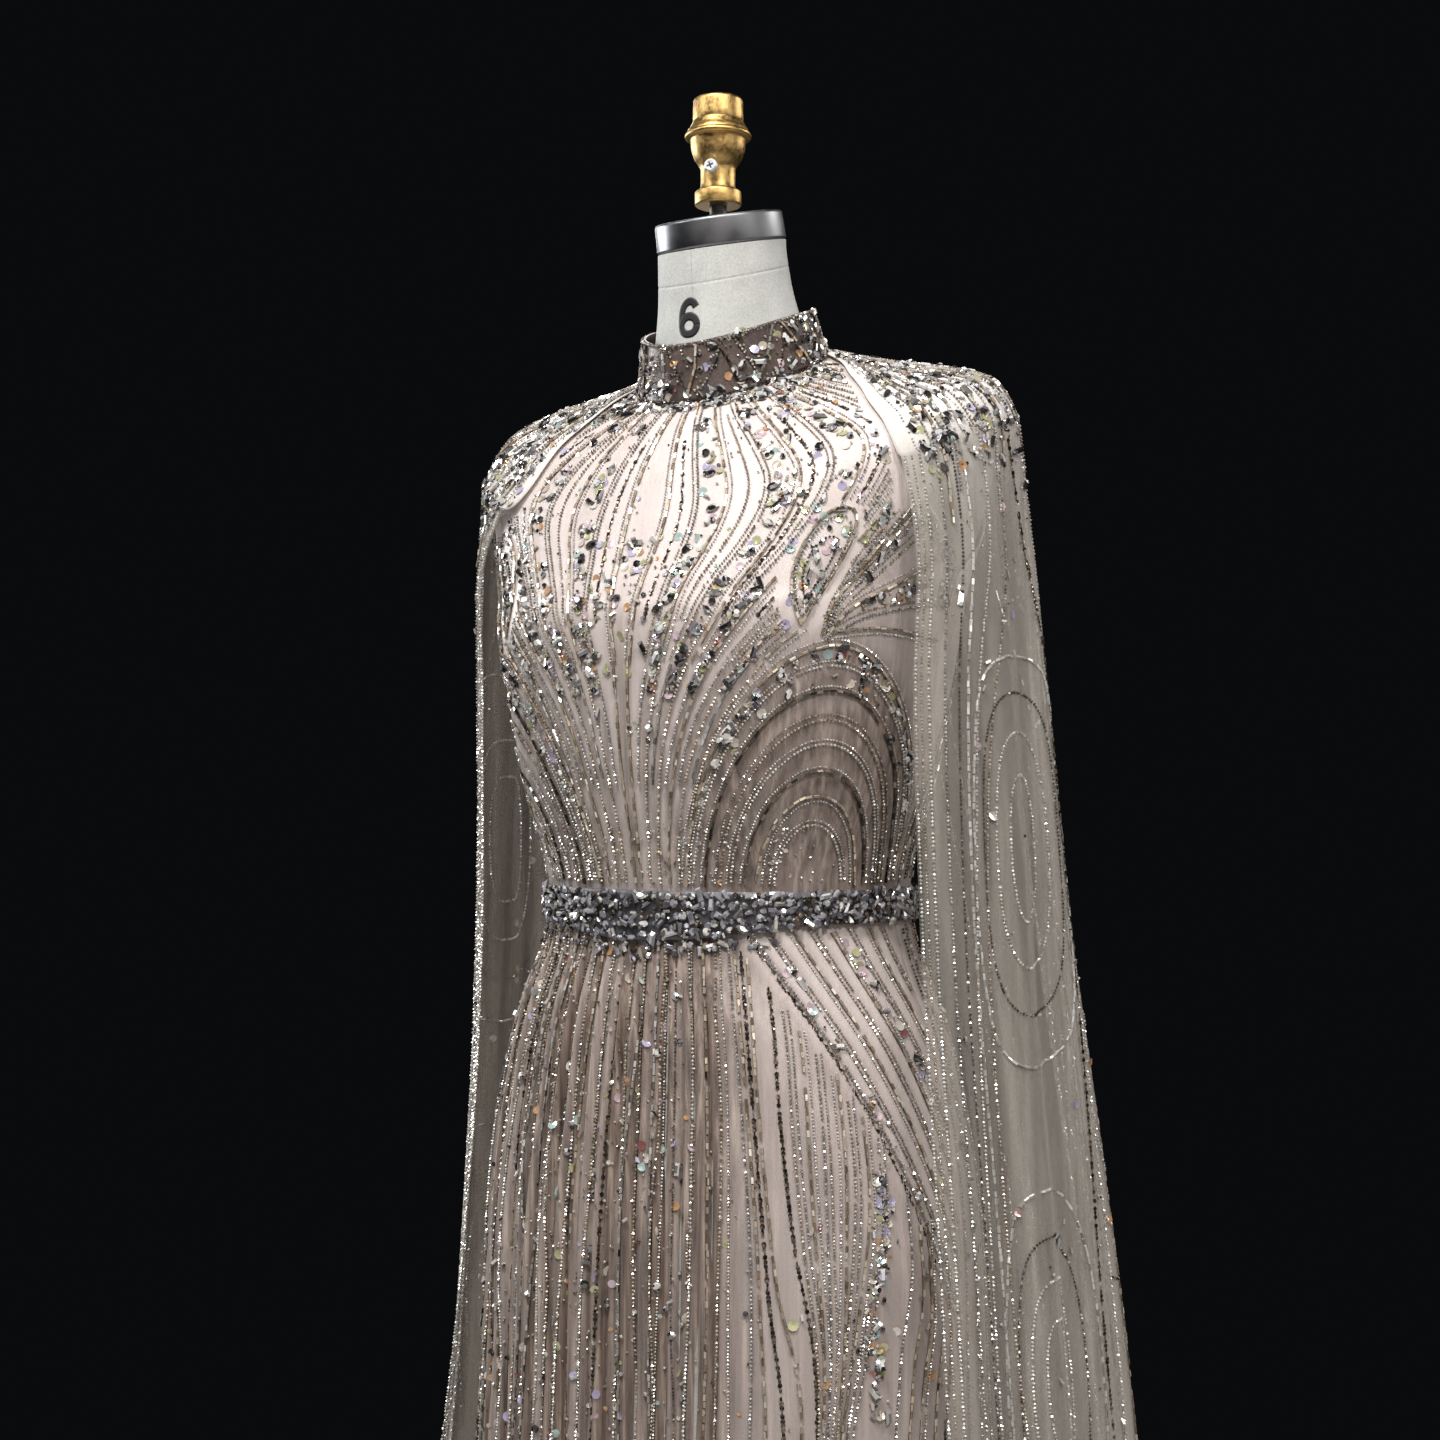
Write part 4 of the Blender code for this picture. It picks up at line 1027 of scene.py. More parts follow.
def skirt_tone(angle, row):
    """Tulle is densest in the troughs of the gathers, which also carry painted shade, and thin over the
    smooth hip, where the satin shows and painted light lies; painted shade fills the grooves between the
    hip's ridges.
    """
    z = figure(angle, row)[..., 2]
    turn = (angle - GATHER_FROM) / (GATHER_TO - GATHER_FROM)
    over_gathers = ease(turn, -0.12, 0.06) * (1 - ease(turn, 1.04, 1.24))
    trough_shade_and_tulle = 0.5 + 0.5 * np.cos(2 * math.pi * GATHER_COUNT * turn)
    uneven = 0.5 + 0.5 * np.sin(angle * 0.9 + 1.7 * np.sin(angle * 0.33))
    behind = ease(np.abs(angle), 80, 110)
    place = sweep_place(angle, z)
    lit_hip = sweep_share(angle, z) * (angle > 0)
    groove_shade = 0.30 * lit_hip * (0.5 + 0.5 * np.cos(2 * math.pi * place)) ** 2
    # Troughs and grooves are darkened as painted shade and the hip lightened as painted light, with the
    # tulle's own density
    total = 0.36 - 0.30 * lit_hip + groove_shade + over_gathers * (0.16 + 0.34 * trough_shade_and_tulle + 0.38 * uneven) + 0.22 * behind
    return np.clip(total, 0, 1.0)


def make_skirt():
    rows = np.concatenate((np.linspace(WAIST_ROW + 0.002, 11.4, 50), np.linspace(11.4, HEM_ROW, 28)[1:]))
    fine = np.linspace(GATHER_FROM - 10, GATHER_TO + 6, 172)
    columns = np.concatenate((np.linspace(-SIDE + SEAM_GAP_ANGLE, fine[0], 7)[:-1], fine,
                              np.linspace(fine[-1], SIDE - SEAM_GAP_ANGLE, 96)[1:]))
    angles = np.broadcast_to(columns, (len(rows), len(columns)))
    front = cloth_panel("skirt_front", "cloth", figure, angles, rows, GOWN, "gown_tulle", skirt_front_lift,
                        skirt_tone)
    beside_zip = np.where(rows <= row_at(ZIP_END_Z), zip_angle(rows), 0.0)
    start, end = SIDE + SEAM_GAP_ANGLE, BACK - beside_zip - SEAM_GAP_ANGLE
    left = gown_panel("skirt_back_left", start, end, 44, rows, back_folds, skirt_tone)
    right = gown_panel("skirt_back_right", -end, -start, 44, rows, back_folds, skirt_tone)
    return front, left, right


# Where the columns of the zip's tape lie across it, and how high the line over its teeth stands
ZIP_COLUMNS = np.array((-1.0, -0.35, -0.12, 0.0, 0.12, 0.35, 1.0))
ZIP_RIDGE = 0.0006


def make_zip():
    """The closed zip: a tape down the centre back with its covered teeth as a fine raised line."""
    end_row = float(row_at(ZIP_END_Z)) - 0.01
    rows = np.concatenate((np.linspace(0, 9, 70), np.linspace(9, end_row, 14)[1:]))
    half = zip_angle(rows) - SEAM_GAP_ANGLE
    angles = BACK + half[:, None] * ZIP_COLUMNS

    def ridge(angle, row):
        share = np.abs(angle - BACK) / (zip_angle(row) - SEAM_GAP_ANGLE)
        return ZIP_RIDGE * (1 - ease(share, 0.05, 0.30))

    return cloth_panel("back_zip", "tape", figure, angles, rows, TAPE, "zip_tape", ridge)


BAND_GAP_ANGLE = 0.2


def make_band(node, suffix, surface, steps, finish, slot, thickness):
    """A band that goes all the way round, and meets at the back."""
    downs = np.linspace(0, 1, steps)
    angles = angle_grid(-BACK + BAND_GAP_ANGLE, BACK - BAND_GAP_ANGLE, 150, steps)
    return cloth_panel(node, suffix, surface, angles, downs, finish, slot, thickness=thickness)


# Each cape's own soft folds: share from the front edge, drift of that share in a row, width, height in
# metres, and the rows where it starts and ends
CAPE_CREASES = {
    1: (
        (0.13, 0.006, 0.030, 0.0030, 3.6, 12.5), (0.27, 0.014, 0.040, -0.0036, 3.2, 9.4),
        (0.40, -0.006, 0.045, 0.0058, 3.8, 13.0), (0.52, 0.010, 0.035, -0.0042, 5.0, 11.6),
        (0.66, -0.008, 0.050, 0.0046, 4.2, 12.8), (0.81, 0.006, 0.035, -0.0030, 3.4, 10.2),
    ),
    -1: (
        (0.12, 0.010, 0.035, -0.0030, 4.4, 12.0), (0.24, -0.006, 0.040, 0.0044, 3.6, 12.8),
        (0.37, 0.012, 0.035, -0.0040, 3.2, 10.0), (0.50, 0.004, 0.050, 0.0056, 4.0, 12.6),
        (0.64, -0.010, 0.040, -0.0034, 5.2, 12.2), (0.78, 0.008, 0.045, 0.0040, 3.6, 11.2),
    ),
}
# Rows over which a crease rises and fades, and the share of their full depth that the long folds have
CREASE_EASE, LONG_FOLD_SHARE = 1.6, 0.75
CAPE_PHASE = {1: 0.10, -1: 0.55}
CAPE_NAME = {1: "cape_left", -1: "cape_right"}
CAPE_CLOTH = 0.0008
SLOPE_STEP = 0.4


def cape_across(side, angle, row):
    """The share of a cape's width, from its front edge, at an angle."""
    front_edge, back_edge = cape_edges(side, row)
    return (side * angle - front_edge) / (back_edge - front_edge)


def cape_lift(side):
    """The long folds of one cape with its own creases."""
    folds = cape_fold_lift(side, CAPE_PHASE[side])

    def lift(angle, row):
        across = cape_across(side, angle, row)
        total = folds(angle, row) * LONG_FOLD_SHARE
        for centre, drift, width, height, start, end in CAPE_CREASES[side]:
            strength = ease(row, start, start + CREASE_EASE) * (1 - ease(row, end - CREASE_EASE, end))
            middle = centre + drift * (row - start) + 0.008 * np.sin(row * 1.3 + centre * 20)
            total = total + height * strength * np.exp(-((across - middle) / width) ** 2)
        return total

    return lift


def cape_tone(side):
    """How much the tulle covers: most on the shoulder, and then where its folds close up."""
    lift = cape_lift(side)

    def tone(angle, row):
        across = cape_across(side, angle, row)
        band = np.maximum(1 - ease(across, 0.028, 0.036), ease(across, 0.972, 0.982))
        slope = np.abs(lift(angle + SLOPE_STEP, row) - lift(angle - SLOPE_STEP, row)) / (2 * SLOPE_STEP)
        shoulder = (1 - ease(row, 2.6, 5.6)) * (1 - 0.35 * ease(across, 0.35, 0.75))
        front = 1 - ease(across, 0.04, 0.17)
        below = (slope * 95 - 0.07 * front) * (1 - shoulder)
        outer = 0.035 * ease(across, 0.20, 0.50)
        return np.clip(0.165 - 0.02 * band - outer + below + 0.675 * shoulder, 0.06, 0.84)

    return tone


def make_cape(side):
    rows = np.concatenate((np.linspace(CAPE_START, 4.2, 34), np.linspace(4.2, CAPE_LAST_ROW, 62)[1:]))
    front_edge, back_edge = cape_edges(side, rows)
    angles = angle_grid(front_edge, back_edge, 104, len(rows))
    if side < 0:
        angles = -angles[:, ::-1]
    return cloth_panel(CAPE_NAME[side], "tulle", cape_base, angles, rows, SHEER, "cape_tulle",
                       cape_lift(side), cape_tone(side), CAPE_CLOTH)


BODICE_FRONT, BODICE_BACK_LEFT, BODICE_BACK_RIGHT = make_bodice()
SKIRT_FRONT, SKIRT_BACK_LEFT, SKIRT_BACK_RIGHT = make_skirt()
make_zip()
COLLAR = make_band("collar", "cloth", collar_surface, 13, MAUVE, "collar_beaded", COLLAR_CLOTH)
make_band("waist_belt", "band", belt_surface, 9, PEWTER, "belt_crystal", BELT_CLOTH)
CAPE_LEFT, CAPE_RIGHT = make_cape(1), make_cape(-1)

# ---------------- beading of the bodice

def pairs(first, second):
    """Two runs of numbers as rows of two."""
    return np.stack(np.broadcast_arrays(np.asarray(first, float), np.asarray(second, float)), axis=-1)


def half_panel(sign, centre, side):
    """From shares of the width (1 at the side seam) and of the height to (angle, row) on half a bodice."""
    def place(across, up):
        angle = sign * (centre + (side - centre) * np.asarray(across, float))
        return pairs(angle, np.interp(up, UP_RUN, UP_ROWS))

    return place


def drawn(count, start, span, power=1.0):
    """Random numbers from start on, which crowd towards the far end where the power is below one."""
    return start + span * RANDOM.random(count) ** power


def either_side(count, right_share):
    """Random signs; -1, the wearer's right, comes up in this share of them."""
    return np.where(RANDOM.random(count) < right_share, -1, 1)


# How far beads keep off the armholes and off the capes' front edges, in degrees
OFF_ARMHOLE_ANGLE, OFF_CAPE_ANGLE = 1.2, 2.5
# The capes lie on the bodice down to this row, and as far back as this angle
CAPES_COVER_TO_ROW, CAPES_COVER_TO_ANGLE = 5.0, 173.5
# The first and the last row with beads
BODICE_BEADED_FROM, BODICE_BEADED_TO = 0.02, 8.82


def on_bodice(angle, row):
    """Off the armholes, clear of the capes that lie on the shoulders, and above the belt."""
    size = np.abs(angle)
    in_front = (size <= SIDE) & (size < armhole_edge(row, 0) - OFF_ARMHOLE_ANGLE)
    off_zip = size < BACK - zip_angle(row) - 1
    behind = (size > SIDE) & (size > armhole_edge(row, 1) + OFF_ARMHOLE_ANGLE) & off_zip
    cape_from = np.where(angle > 0, cape_edges(1, row)[0], cape_edges(-1, row)[0])
    covered = (size > cape_from - OFF_CAPE_ANGLE) & (size < CAPES_COVER_TO_ANGLE) & (row < CAPES_COVER_TO_ROW)
    return (in_front | behind) & ~covered & (row < BODICE_BEADED_TO) & (row > BODICE_BEADED_FROM)


# Leaf-shaped loops over the bust, kept clear of the long lines: share, height, half width, half height
LOOPS = ((0.47, 0.575, 0.085, 0.085),)
LOOP_CLEARANCE = 1.12


def off_loops(angle, row):
    """On the bodice, and outside the leaf-shaped loops of the front."""
    up = np.interp(-row, -UP_ROWS, UP_RUN)
    clear = on_bodice(angle, row)
    for across, height, half_width, half_height in LOOPS:
        reach = np.hypot((np.abs(angle) / SIDE - across) / half_width, (up - height) / half_height)
        clear &= (reach > LOOP_CLEARANCE) | (np.abs(angle) > SIDE)
    return clear


FAN_SWAY = 0.006
# How far loose beads lie from the middle of a front panel, in degrees
FRONT_REACH = 88
# How many loose beads: round the neck, on the chest, along the armholes, above the belt, down the middle and
# all over the front
NECK_BEADS, CHEST_BEADS, ARMHOLE_BEADS = 300, 240, 260
WAIST_BEADS, MIDDLE_BEADS, FINE_BEADS = 240, 90, 260
# Nested arches under the bust: half widths and heights, outermost first
ARCHES = (
    (0.400, 0.400), (0.368, 0.362), (0.330, 0.320), (0.290, 0.276), (0.246, 0.230), (0.200, 0.184),
    (0.152, 0.138), (0.100, 0.092),
)
BACK_ARCHES, ARCH_PAIR_APART = ARCHES[:6], 0.0030
# Fans that open from beside the bust to the armhole: where they start and end
SHOULDER_FAN_ROOT = (0.545, 0.470)
SHOULDER_FAN = ((0.64, 0.66), (0.72, 0.65), (0.79, 0.62), (0.86, 0.58), (0.93, 0.53), (0.98, 0.47))
# Clusters in the gaps: first line, how many beads, from what share of the line to what share
ARCH_CLUSTERS = ((0, 120, (0.14, 0.90)), (1, 24, (0.20, 0.80)))
SHOULDER_CLUSTERS = ((1, 34, (0.45, 0.98)), (3, 40, (0.35, 0.98)))
BACK_CLUSTERS = ((1, 70, (0.30, 0.95)), (4, 80, (0.30, 0.90)))
# The rings of a leaf-shaped loop, and how many beads lie in it
LOOP_RINGS = ((1.0, "bugle", CHAMPAGNE), (0.86, "seed", SILVER), (0.52, "seed", DARK))
LOOP_BEADS = 34


def fan_path(place, share, start=0.0, end=1.0):
    """One line of the fan: it leaves the waist near the centre and opens towards the neck and shoulder."""
    across, up = smooth_line(FAN_EDGE, 300).T
    chosen = (up >= start) & (up <= end)
    across, up = across[chosen], up[chosen]
    return place(across * share + FAN_SWAY * np.sin(up * 9 + share * 23) * ease(up, 0.2, 0.5), up)


def arch_path(place, half_width, height):
    """An arch from the waist, over below the bust, to the side seam; its inner foot leans to the centre."""
    turn = np.linspace(-0.04, 1.03, 240) * math.pi
    up = ARCH_CENTRE[1] + height * np.sin(turn)
    lean = 0.05 * (1 - up / 0.7) * np.cos(turn / 2)
    across = ARCH_CENTRE[0] - half_width * np.cos(turn) - lean
    return place(np.clip(across, 0.02, 0.985), np.clip(up, 0, 1))


def loop_path(place, across, height, half_width, half_height, size):
    """A leaf-shaped loop, pointed at its foot."""
    turn = np.linspace(0.06, 1.94, 160) * math.pi
    width = half_width * size * np.sin(turn) * np.sin(turn / 2)
    return place(across + width, height - half_height * size * np.cos(turn))


# Gaps between the fan's lines with clusters and with dark sequins, and a cluster's beads and span
CLUSTER_GAPS, DARK_GAPS, FAN_CLUSTER = (1, 3, 5, 8), (0, 4, 6), (110, (0.44, 0.97))
# Each line is single up to this share of the height, and double from there on
FAN_DOUBLE_FROM = 0.43


def fan_pattern(chart, place, lines, between):
    """The fan of long lines; between says whether finer lines and clusters fill the gaps."""
    paths = []
    for k in range(lines):
        share = (k + 0.5) / lines
        paths.append(fan_path(place, share))
        foot = fan_path(place, share, 0.0 if k % 2 == 0 else 0.22, FAN_DOUBLE_FROM)
        chart.string(foot, "seed" if k % 3 else "bugle", (CHAMPAGNE, SILVER)[k % 2])
        chart.twin(fan_path(place, share, FAN_DOUBLE_FROM), k)
    if not between:
        return paths
    for k in range(lines - 1):
        share = (k + 1) / lines
        if k in CLUSTER_GAPS:
            chart.clusters(paths, ((k, *FAN_CLUSTER),))
        else:
            shape, finish = ("disc_small", DARK) if k in DARK_GAPS else ("seed", (CHAMPAGNE, SILVER)[k % 2])
            chart.string(fan_path(place, share, 0.50, 0.90 + 0.02 * (k % 4)), shape, finish)
    return paths


def bust_arches(chart, place):
    paths = [arch_path(place, *size) for size in ARCHES]
    for k, path in enumerate(paths):
        if k % 3 == 0:
            chart.twin(path, k)
        else:
            chart.string(path, ("bugle", "seed", "bugle")[k % 3], (DARK, BRIGHT, DARK)[k % 3])
            chart.string(chart.beside(path, ARCH_PAIR_APART), "seed_small", BRIGHT)
    chart.clusters(paths, ARCH_CLUSTERS)


def shoulder_fans(chart, place):
    paths = []
    for k, (across, up) in enumerate(SHOULDER_FAN):
        from_across, from_up = SHOULDER_FAN_ROOT
        middle = (from_across * 0.55 + across * 0.45, from_up * 0.45 + up * 0.55 + 0.012)
        paths.append(smooth_line(place(*np.array((SHOULDER_FAN_ROOT, middle, (across, up))).T), 160))
        chart.twin(paths[-1], k + 1)
    chart.clusters(paths, SHOULDER_CLUSTERS)


def bust_loops(chart, place):
    for across, up, half_width, half_height in LOOPS:
        for size, shape, finish in LOOP_RINGS:
            path = loop_path(place, across, up, half_width, half_height, size)
            chart.string(path, shape, finish)
        spots = place(across + half_width * RANDOM.uniform(-0.5, 0.5, LOOP_BEADS),
                      up + half_height * RANDOM.uniform(-0.6, 0.6, LOOP_BEADS))
        chart.scatter(*spots.T, CLUSTER_MIX)


def front_clusters(chart):
    """Stones round the neck and along the armholes, and loose beads over the whole front."""
    neck = RANDOM.uniform(-FRONT_REACH, FRONT_REACH, NECK_BEADS)
    deep = 0.20 + 0.45 * ease(np.abs(neck), 20, 45)
    chart.scatter(neck, 0.10 + RANDOM.random(NECK_BEADS) * deep, NECK_MIX)
    chest = RANDOM.uniform(28, 74, CHEST_BEADS) * either_side(CHEST_BEADS, 0.4)
    chart.loose(chest, 0.4, 5.2, CLUSTER_MIX)
    rows = RANDOM.uniform(3.4, 6.6, ARMHOLE_BEADS)
    edge = armhole_edge(rows, 0) - RANDOM.uniform(1.5, 6.0, ARMHOLE_BEADS)
    chart.scatter(edge * either_side(ARMHOLE_BEADS, 0.5), rows, CLUSTER_MIX)
    chart.loose(RANDOM.normal(0, 34, WAIST_BEADS), 8.45, BODICE_BEADED_TO, FINE_MIX)
    chart.loose(RANDOM.normal(0, 5.5, MIDDLE_BEADS), 4.2, 7.9, CLUSTER_MIX)
    chart.loose(RANDOM.uniform(2 - FRONT_REACH, FRONT_REACH - 2, FINE_BEADS), 1.0, 6.5, FINE_MIX)


def make_front_beads():
    beading = Beading("bodice_front")
    fan_chart = Chart(beading, figure, bodice_lift, off_loops)
    chart = Chart(beading, figure, bodice_lift, on_bodice)
    for mirror in (-1, 1):
        place = half_panel(mirror, 0, SIDE)
        fan_pattern(fan_chart, place, FAN_LINES, True)
        bust_arches(chart, place)
        shoulder_fans(chart, place)
        bust_loops(chart, place)
    front_clusters(chart)
    return beading.build()


BACK_FAN_LINES = 7


def make_back_beads(side):
    """The back has the front's fan, with fewer lines, since the capes hang over most of it."""
    beading = Beading("bodice_back_left" if side > 0 else "bodice_back_right")
    chart, place = Chart(beading, figure, bodice_lift, on_bodice), half_panel(side, BACK - 3, SIDE)
    paths = fan_pattern(chart, place, BACK_FAN_LINES, False)
    chart.clusters(paths, BACK_CLUSTERS)
    for k, size in enumerate(BACK_ARCHES):
        path = arch_path(place, *size)
        chart.string(path, ("seed", "bugle")[k % 2], (CHAMPAGNE, SILVER, DARK)[k % 3])
    return beading.build()


# ---------------- beading of the skirt

def on_skirt(angle, row):
    """Between the belt and the hem, off the side seams and the zip."""
    size = np.abs(angle)
    off_zip = size < BACK - 1.0 - zip_angle(row) * (row < row_at(ZIP_END_Z))
    return (row > 9.12) & (row < HEM_ROW - 0.05) & (np.abs(size - SIDE) > 0.4) & off_zip


def skirt_path(angles, heights, samples=420):
    """A smooth line down the skirt through (angle, height) pairs."""
    angles, heights = smooth_line(pairs(angles, heights), samples).T
    return pairs(angles, row_at(heights))


GATHER_STRINGS, GATHER_STRING_FROM, GATHER_STRING_TO = 49, -88.0, 24.5
# Strings thin out between these heights, and only every fourth one goes on to the hem
SHORT_STRINGS_END_Z, LONG_STRINGS_END_Z = (0.30, 0.66), (0.05, 0.16)
# The long leaf below the sweeps, as (angle, height) on its left and its right edge
LEAF_LEFT = (
    (35.0, 1.020), (34.5, 0.940), (37.0, 0.860), (41.5, 0.800), (43.0, 0.745), (40.0, 0.640), (33.0, 0.480),
)
LEAF_RIGHT = (
    (64.0, 0.914), (63.5, 0.880), (60.5, 0.835), (55.5, 0.780), (51.5, 0.720), (53.0, 0.610), (60.0, 0.440),
)
# More lines below the leaf
LOWER_LEFT = ((40.0, 0.560), (34.0, 0.480), (30.0, 0.380), (28.0, 0.250), (30.0, 0.080))
LOWER_RIGHT = ((52.0, 0.560), (60.0, 0.470), (66.0, 0.380), (64.0, 0.260), (62.0, 0.120))
# Lines between the gathers and the leaf, and beyond the leaf
INNER_LEFT = ((25.5, 1.045), (26.5, 0.940), (28.0, 0.820), (26.0, 0.640), (24.0, 0.300))
INNER_RIGHT = ((32.5, 1.030), (32.0, 0.940), (35.0, 0.840), (42.0, 0.745), (30.0, 0.540))
OUTER_LEFT = ((67.0, 0.904), (66.5, 0.850), (63.0, 0.780), (62.0, 0.700), (72.0, 0.540))
OUTER_RIGHT = ((84.0, 0.830), (84.0, 0.790), (82.0, 0.720), (80.0, 0.620), (84.0, 0.400))
# Families of lines: left and right edge, how many, which is the dark one, and how many to a double one
FAMILIES = (
    (LEAF_LEFT, LEAF_RIGHT, 8, 0, 1), (LOWER_LEFT, LOWER_RIGHT, 5, 2, 3), (INNER_LEFT, INNER_RIGHT, 4, 2, 3),
    (OUTER_LEFT, OUTER_RIGHT, 5, 4, 3),
)
# A band of discs beside the leaf: its middle line, and how many beads it has
BAND_MIDDLE = ((62.5, 0.905), (60.5, 0.860), (57.0, 0.810), (60.0, 0.750), (66.0, 0.640), (64.0, 0.480))
BAND_BEADS, BAND_SPREAD = 190, 1.6
GATHER_KINDS = (
    ("seed", CHAMPAGNE), ("bugle", SILVER), ("seed_small", BRIGHT), ("seed", CHAMPAGNE), ("seed_small", DARK),
    ("seed", BRIGHT), ("seed_small", CHAMPAGNE), ("bugle", CHAMPAGNE), ("seed", CHAMPAGNE),
    ("seed_small", BRIGHT), ("disc_small", DARK), ("seed", CHAMPAGNE), ("bugle", SILVER),
)
SWEEP_CLUSTERS = ((0, 46, (0.04, 0.90)), (4, 40, (0.05, 0.90)))
SWEEP_PAIR_APART = 0.0034
# How far a string over the gathers drifts aside from one of its control points to the next, in degrees
GATHER_STRING_DRIFT, GATHER_STRING_POINTS = 0.62, 9
# How many loose beads on the skirt's front: discs over the gathers, fine ones from the right seam on and
# round the middle, and discs down to the hem; and discs on each back panel
GATHER_DISCS, SEAM_FINE_BEADS, MIDDLE_FINE_BEADS, LOWER_DISCS, BACK_DISCS = 620, 1700, 900, 420, 330


def make_gather_strings(chart):
    """The close vertical strings over the gathers."""
    for j in range(GATHER_STRINGS):
        angle = GATHER_STRING_FROM + (GATHER_STRING_TO - GATHER_STRING_FROM) * (j + 0.5) / GATHER_STRINGS
        low, high = LONG_STRINGS_END_Z if j % 4 == 0 else SHORT_STRINGS_END_Z
        heights = np.linspace(BELT_FOOT_Z, low + (high - low) * RANDOM.random(), GATHER_STRING_POINTS)
        angle = angle + 1.1 * math.sin(j * 1.9) + 0.7 * math.sin(j * 0.7)
        drift = np.cumsum(RANDOM.normal(0, GATHER_STRING_DRIFT, GATHER_STRING_POINTS))
        drift = drift * np.linspace(0.2, 1, GATHER_STRING_POINTS)
        path = skirt_path(np.minimum(angle + drift, GATHER_STRING_TO + 1), heights)
        shape, finish = GATHER_KINDS[j % len(GATHER_KINDS)]
        chart.string(path, shape, finish, fill=(0.96, 0.88, 0.94)[j % 3])


def make_sweeps(chart):
    """Twin lines that leave the belt beside the gathers and sweep down to the wearer's left seam."""
    heights = np.linspace(BELT_FOOT_Z, 0.55, 300)
    paths = []
    for k in range(SWEEP_LINES):
        angles = sweep_angle(k, heights)
        path = pairs(angles, row_at(heights))[angles < SIDE - 1.5]
        paths.append(path)
        if k == 0:
            chart.string(path, "disc_small", DARK)
            chart.string(chart.beside(path, SWEEP_PAIR_APART), "seed", SILVER)
        else:
            chart.twin(path, k, fill=0.95)
    chart.clusters(paths, SWEEP_CLUSTERS, SKIRT_MIX)


def make_family(chart, left, right, lines, dark, doubled):
    """Lines that pass evenly from one edge line to another; the dark one is a string of bronze sequins."""
    left, right = np.array(left), np.array(right)
    for k in range(lines):
        path = skirt_path(*(left + (right - left) * ((k + 0.5) / lines)).T)
        if k == dark:
            chart.string(path, "disc_small", DARK)
        elif k % doubled == doubled - 1:
            chart.twin(path, k + 2, fill=0.95)
        else:
            chart.string(path, ("seed", "bugle")[k % 2], (SILVER, CHAMPAGNE)[k % 2], fill=0.95)


def make_leaves(chart):
    """Below the sweeps: a long leaf of lines that bow outwards and close again, and a band of discs."""
    for family in FAMILIES:
        make_family(chart, *family)
    band = skirt_path(*np.array(BAND_MIDDLE).T)
    angles, rows = band[RANDOM.integers(0, len(band), BAND_BEADS)].T
    angles = angles + RANDOM.normal(0, BAND_SPREAD, BAND_BEADS)
    chart.scatter(angles, rows, SKIRT_MIX, tilt=LOOSE_TILT)


def make_skirt_front_beads():
    beading = Beading("skirt_front")
    chart = Chart(beading, figure, skirt_front_lift, on_skirt)
    make_gather_strings(chart)
    make_sweeps(chart)
    make_leaves(chart)
    rows = row_at(drawn(GATHER_DISCS, 0.55, 0.49, 0.8))
    angles = RANDOM.uniform(GATHER_FROM - 12, GATHER_TO + 2, GATHER_DISCS)
    chart.scatter(angles, rows, SKIRT_MIX, tilt=LOOSE_TILT)
    rows = row_at(drawn(SEAM_FINE_BEADS, 0.62, 0.43, 0.55))
    angles = np.abs(RANDOM.normal(0, 24, SEAM_FINE_BEADS)) - FRONT_REACH
    chart.scatter(angles, rows, FINE_MIX)
    rows = row_at(drawn(MIDDLE_FINE_BEADS, 0.60, 0.44))
    chart.scatter(RANDOM.normal(-14, 17, MIDDLE_FINE_BEADS), rows, FINE_MIX)
    angles = RANDOM.uniform(-FRONT_REACH, FRONT_REACH, LOWER_DISCS)
    rows = row_at(RANDOM.uniform(0.06, 0.9, LOWER_DISCS))
    chart.scatter(angles, rows, SKIRT_MIX, tilt=LOOSE_TILT)
    return beading.build()


def make_skirt_back_beads(side):
    beading = Beading("skirt_back_left" if side > 0 else "skirt_back_right")
    chart = Chart(beading, figure, back_folds, on_skirt)
    for k in range(11):
        low, high = LONG_STRINGS_END_Z if k % 3 == 0 else SHORT_STRINGS_END_Z
        heights = np.linspace(BELT_FOOT_Z, low + (high - low) * RANDOM.random(), 7)
        angles = 94 + 7.6 * k - 4 * np.sin(np.linspace(0, 1, 7) * math.pi + k)
        path = skirt_path(side * np.clip(angles, 91.5, 177.5), heights)
        if k % 3 == 1:
            chart.twin(path, k, fill=0.95)
        else:
            chart.string(path, ("seed", "bugle")[k % 2], (CHAMPAGNE, DARK)[k % 5 == 0], fill=0.93)
    rows = row_at(drawn(BACK_DISCS, 0.10, 0.93, 0.7))
    chart.scatter(side * RANDOM.uniform(92, 177, BACK_DISCS), rows, SKIRT_MIX, tilt=LOOSE_TILT)
    return beading.build()


# ---------------- beading of the capes

def cape_angle(side, across, rows):
    """The angle at a share of the cape's width, from its front edge."""
    front_edge, back_edge = cape_edges(side, rows)
    return side * (front_edge + (back_edge - front_edge) * across)


def cape_path(side, across, rows, samples=420):
    """A smooth line on a cape through (share from the front edge, row) pairs."""
    across, rows = smooth_line(pairs(across, rows), samples).T
    return pairs(cape_angle(side, across, rows), rows)


def on_cape(angle, row):
    return (row > 0.1) & (row < CAPE_LAST_ROW - 0.03)


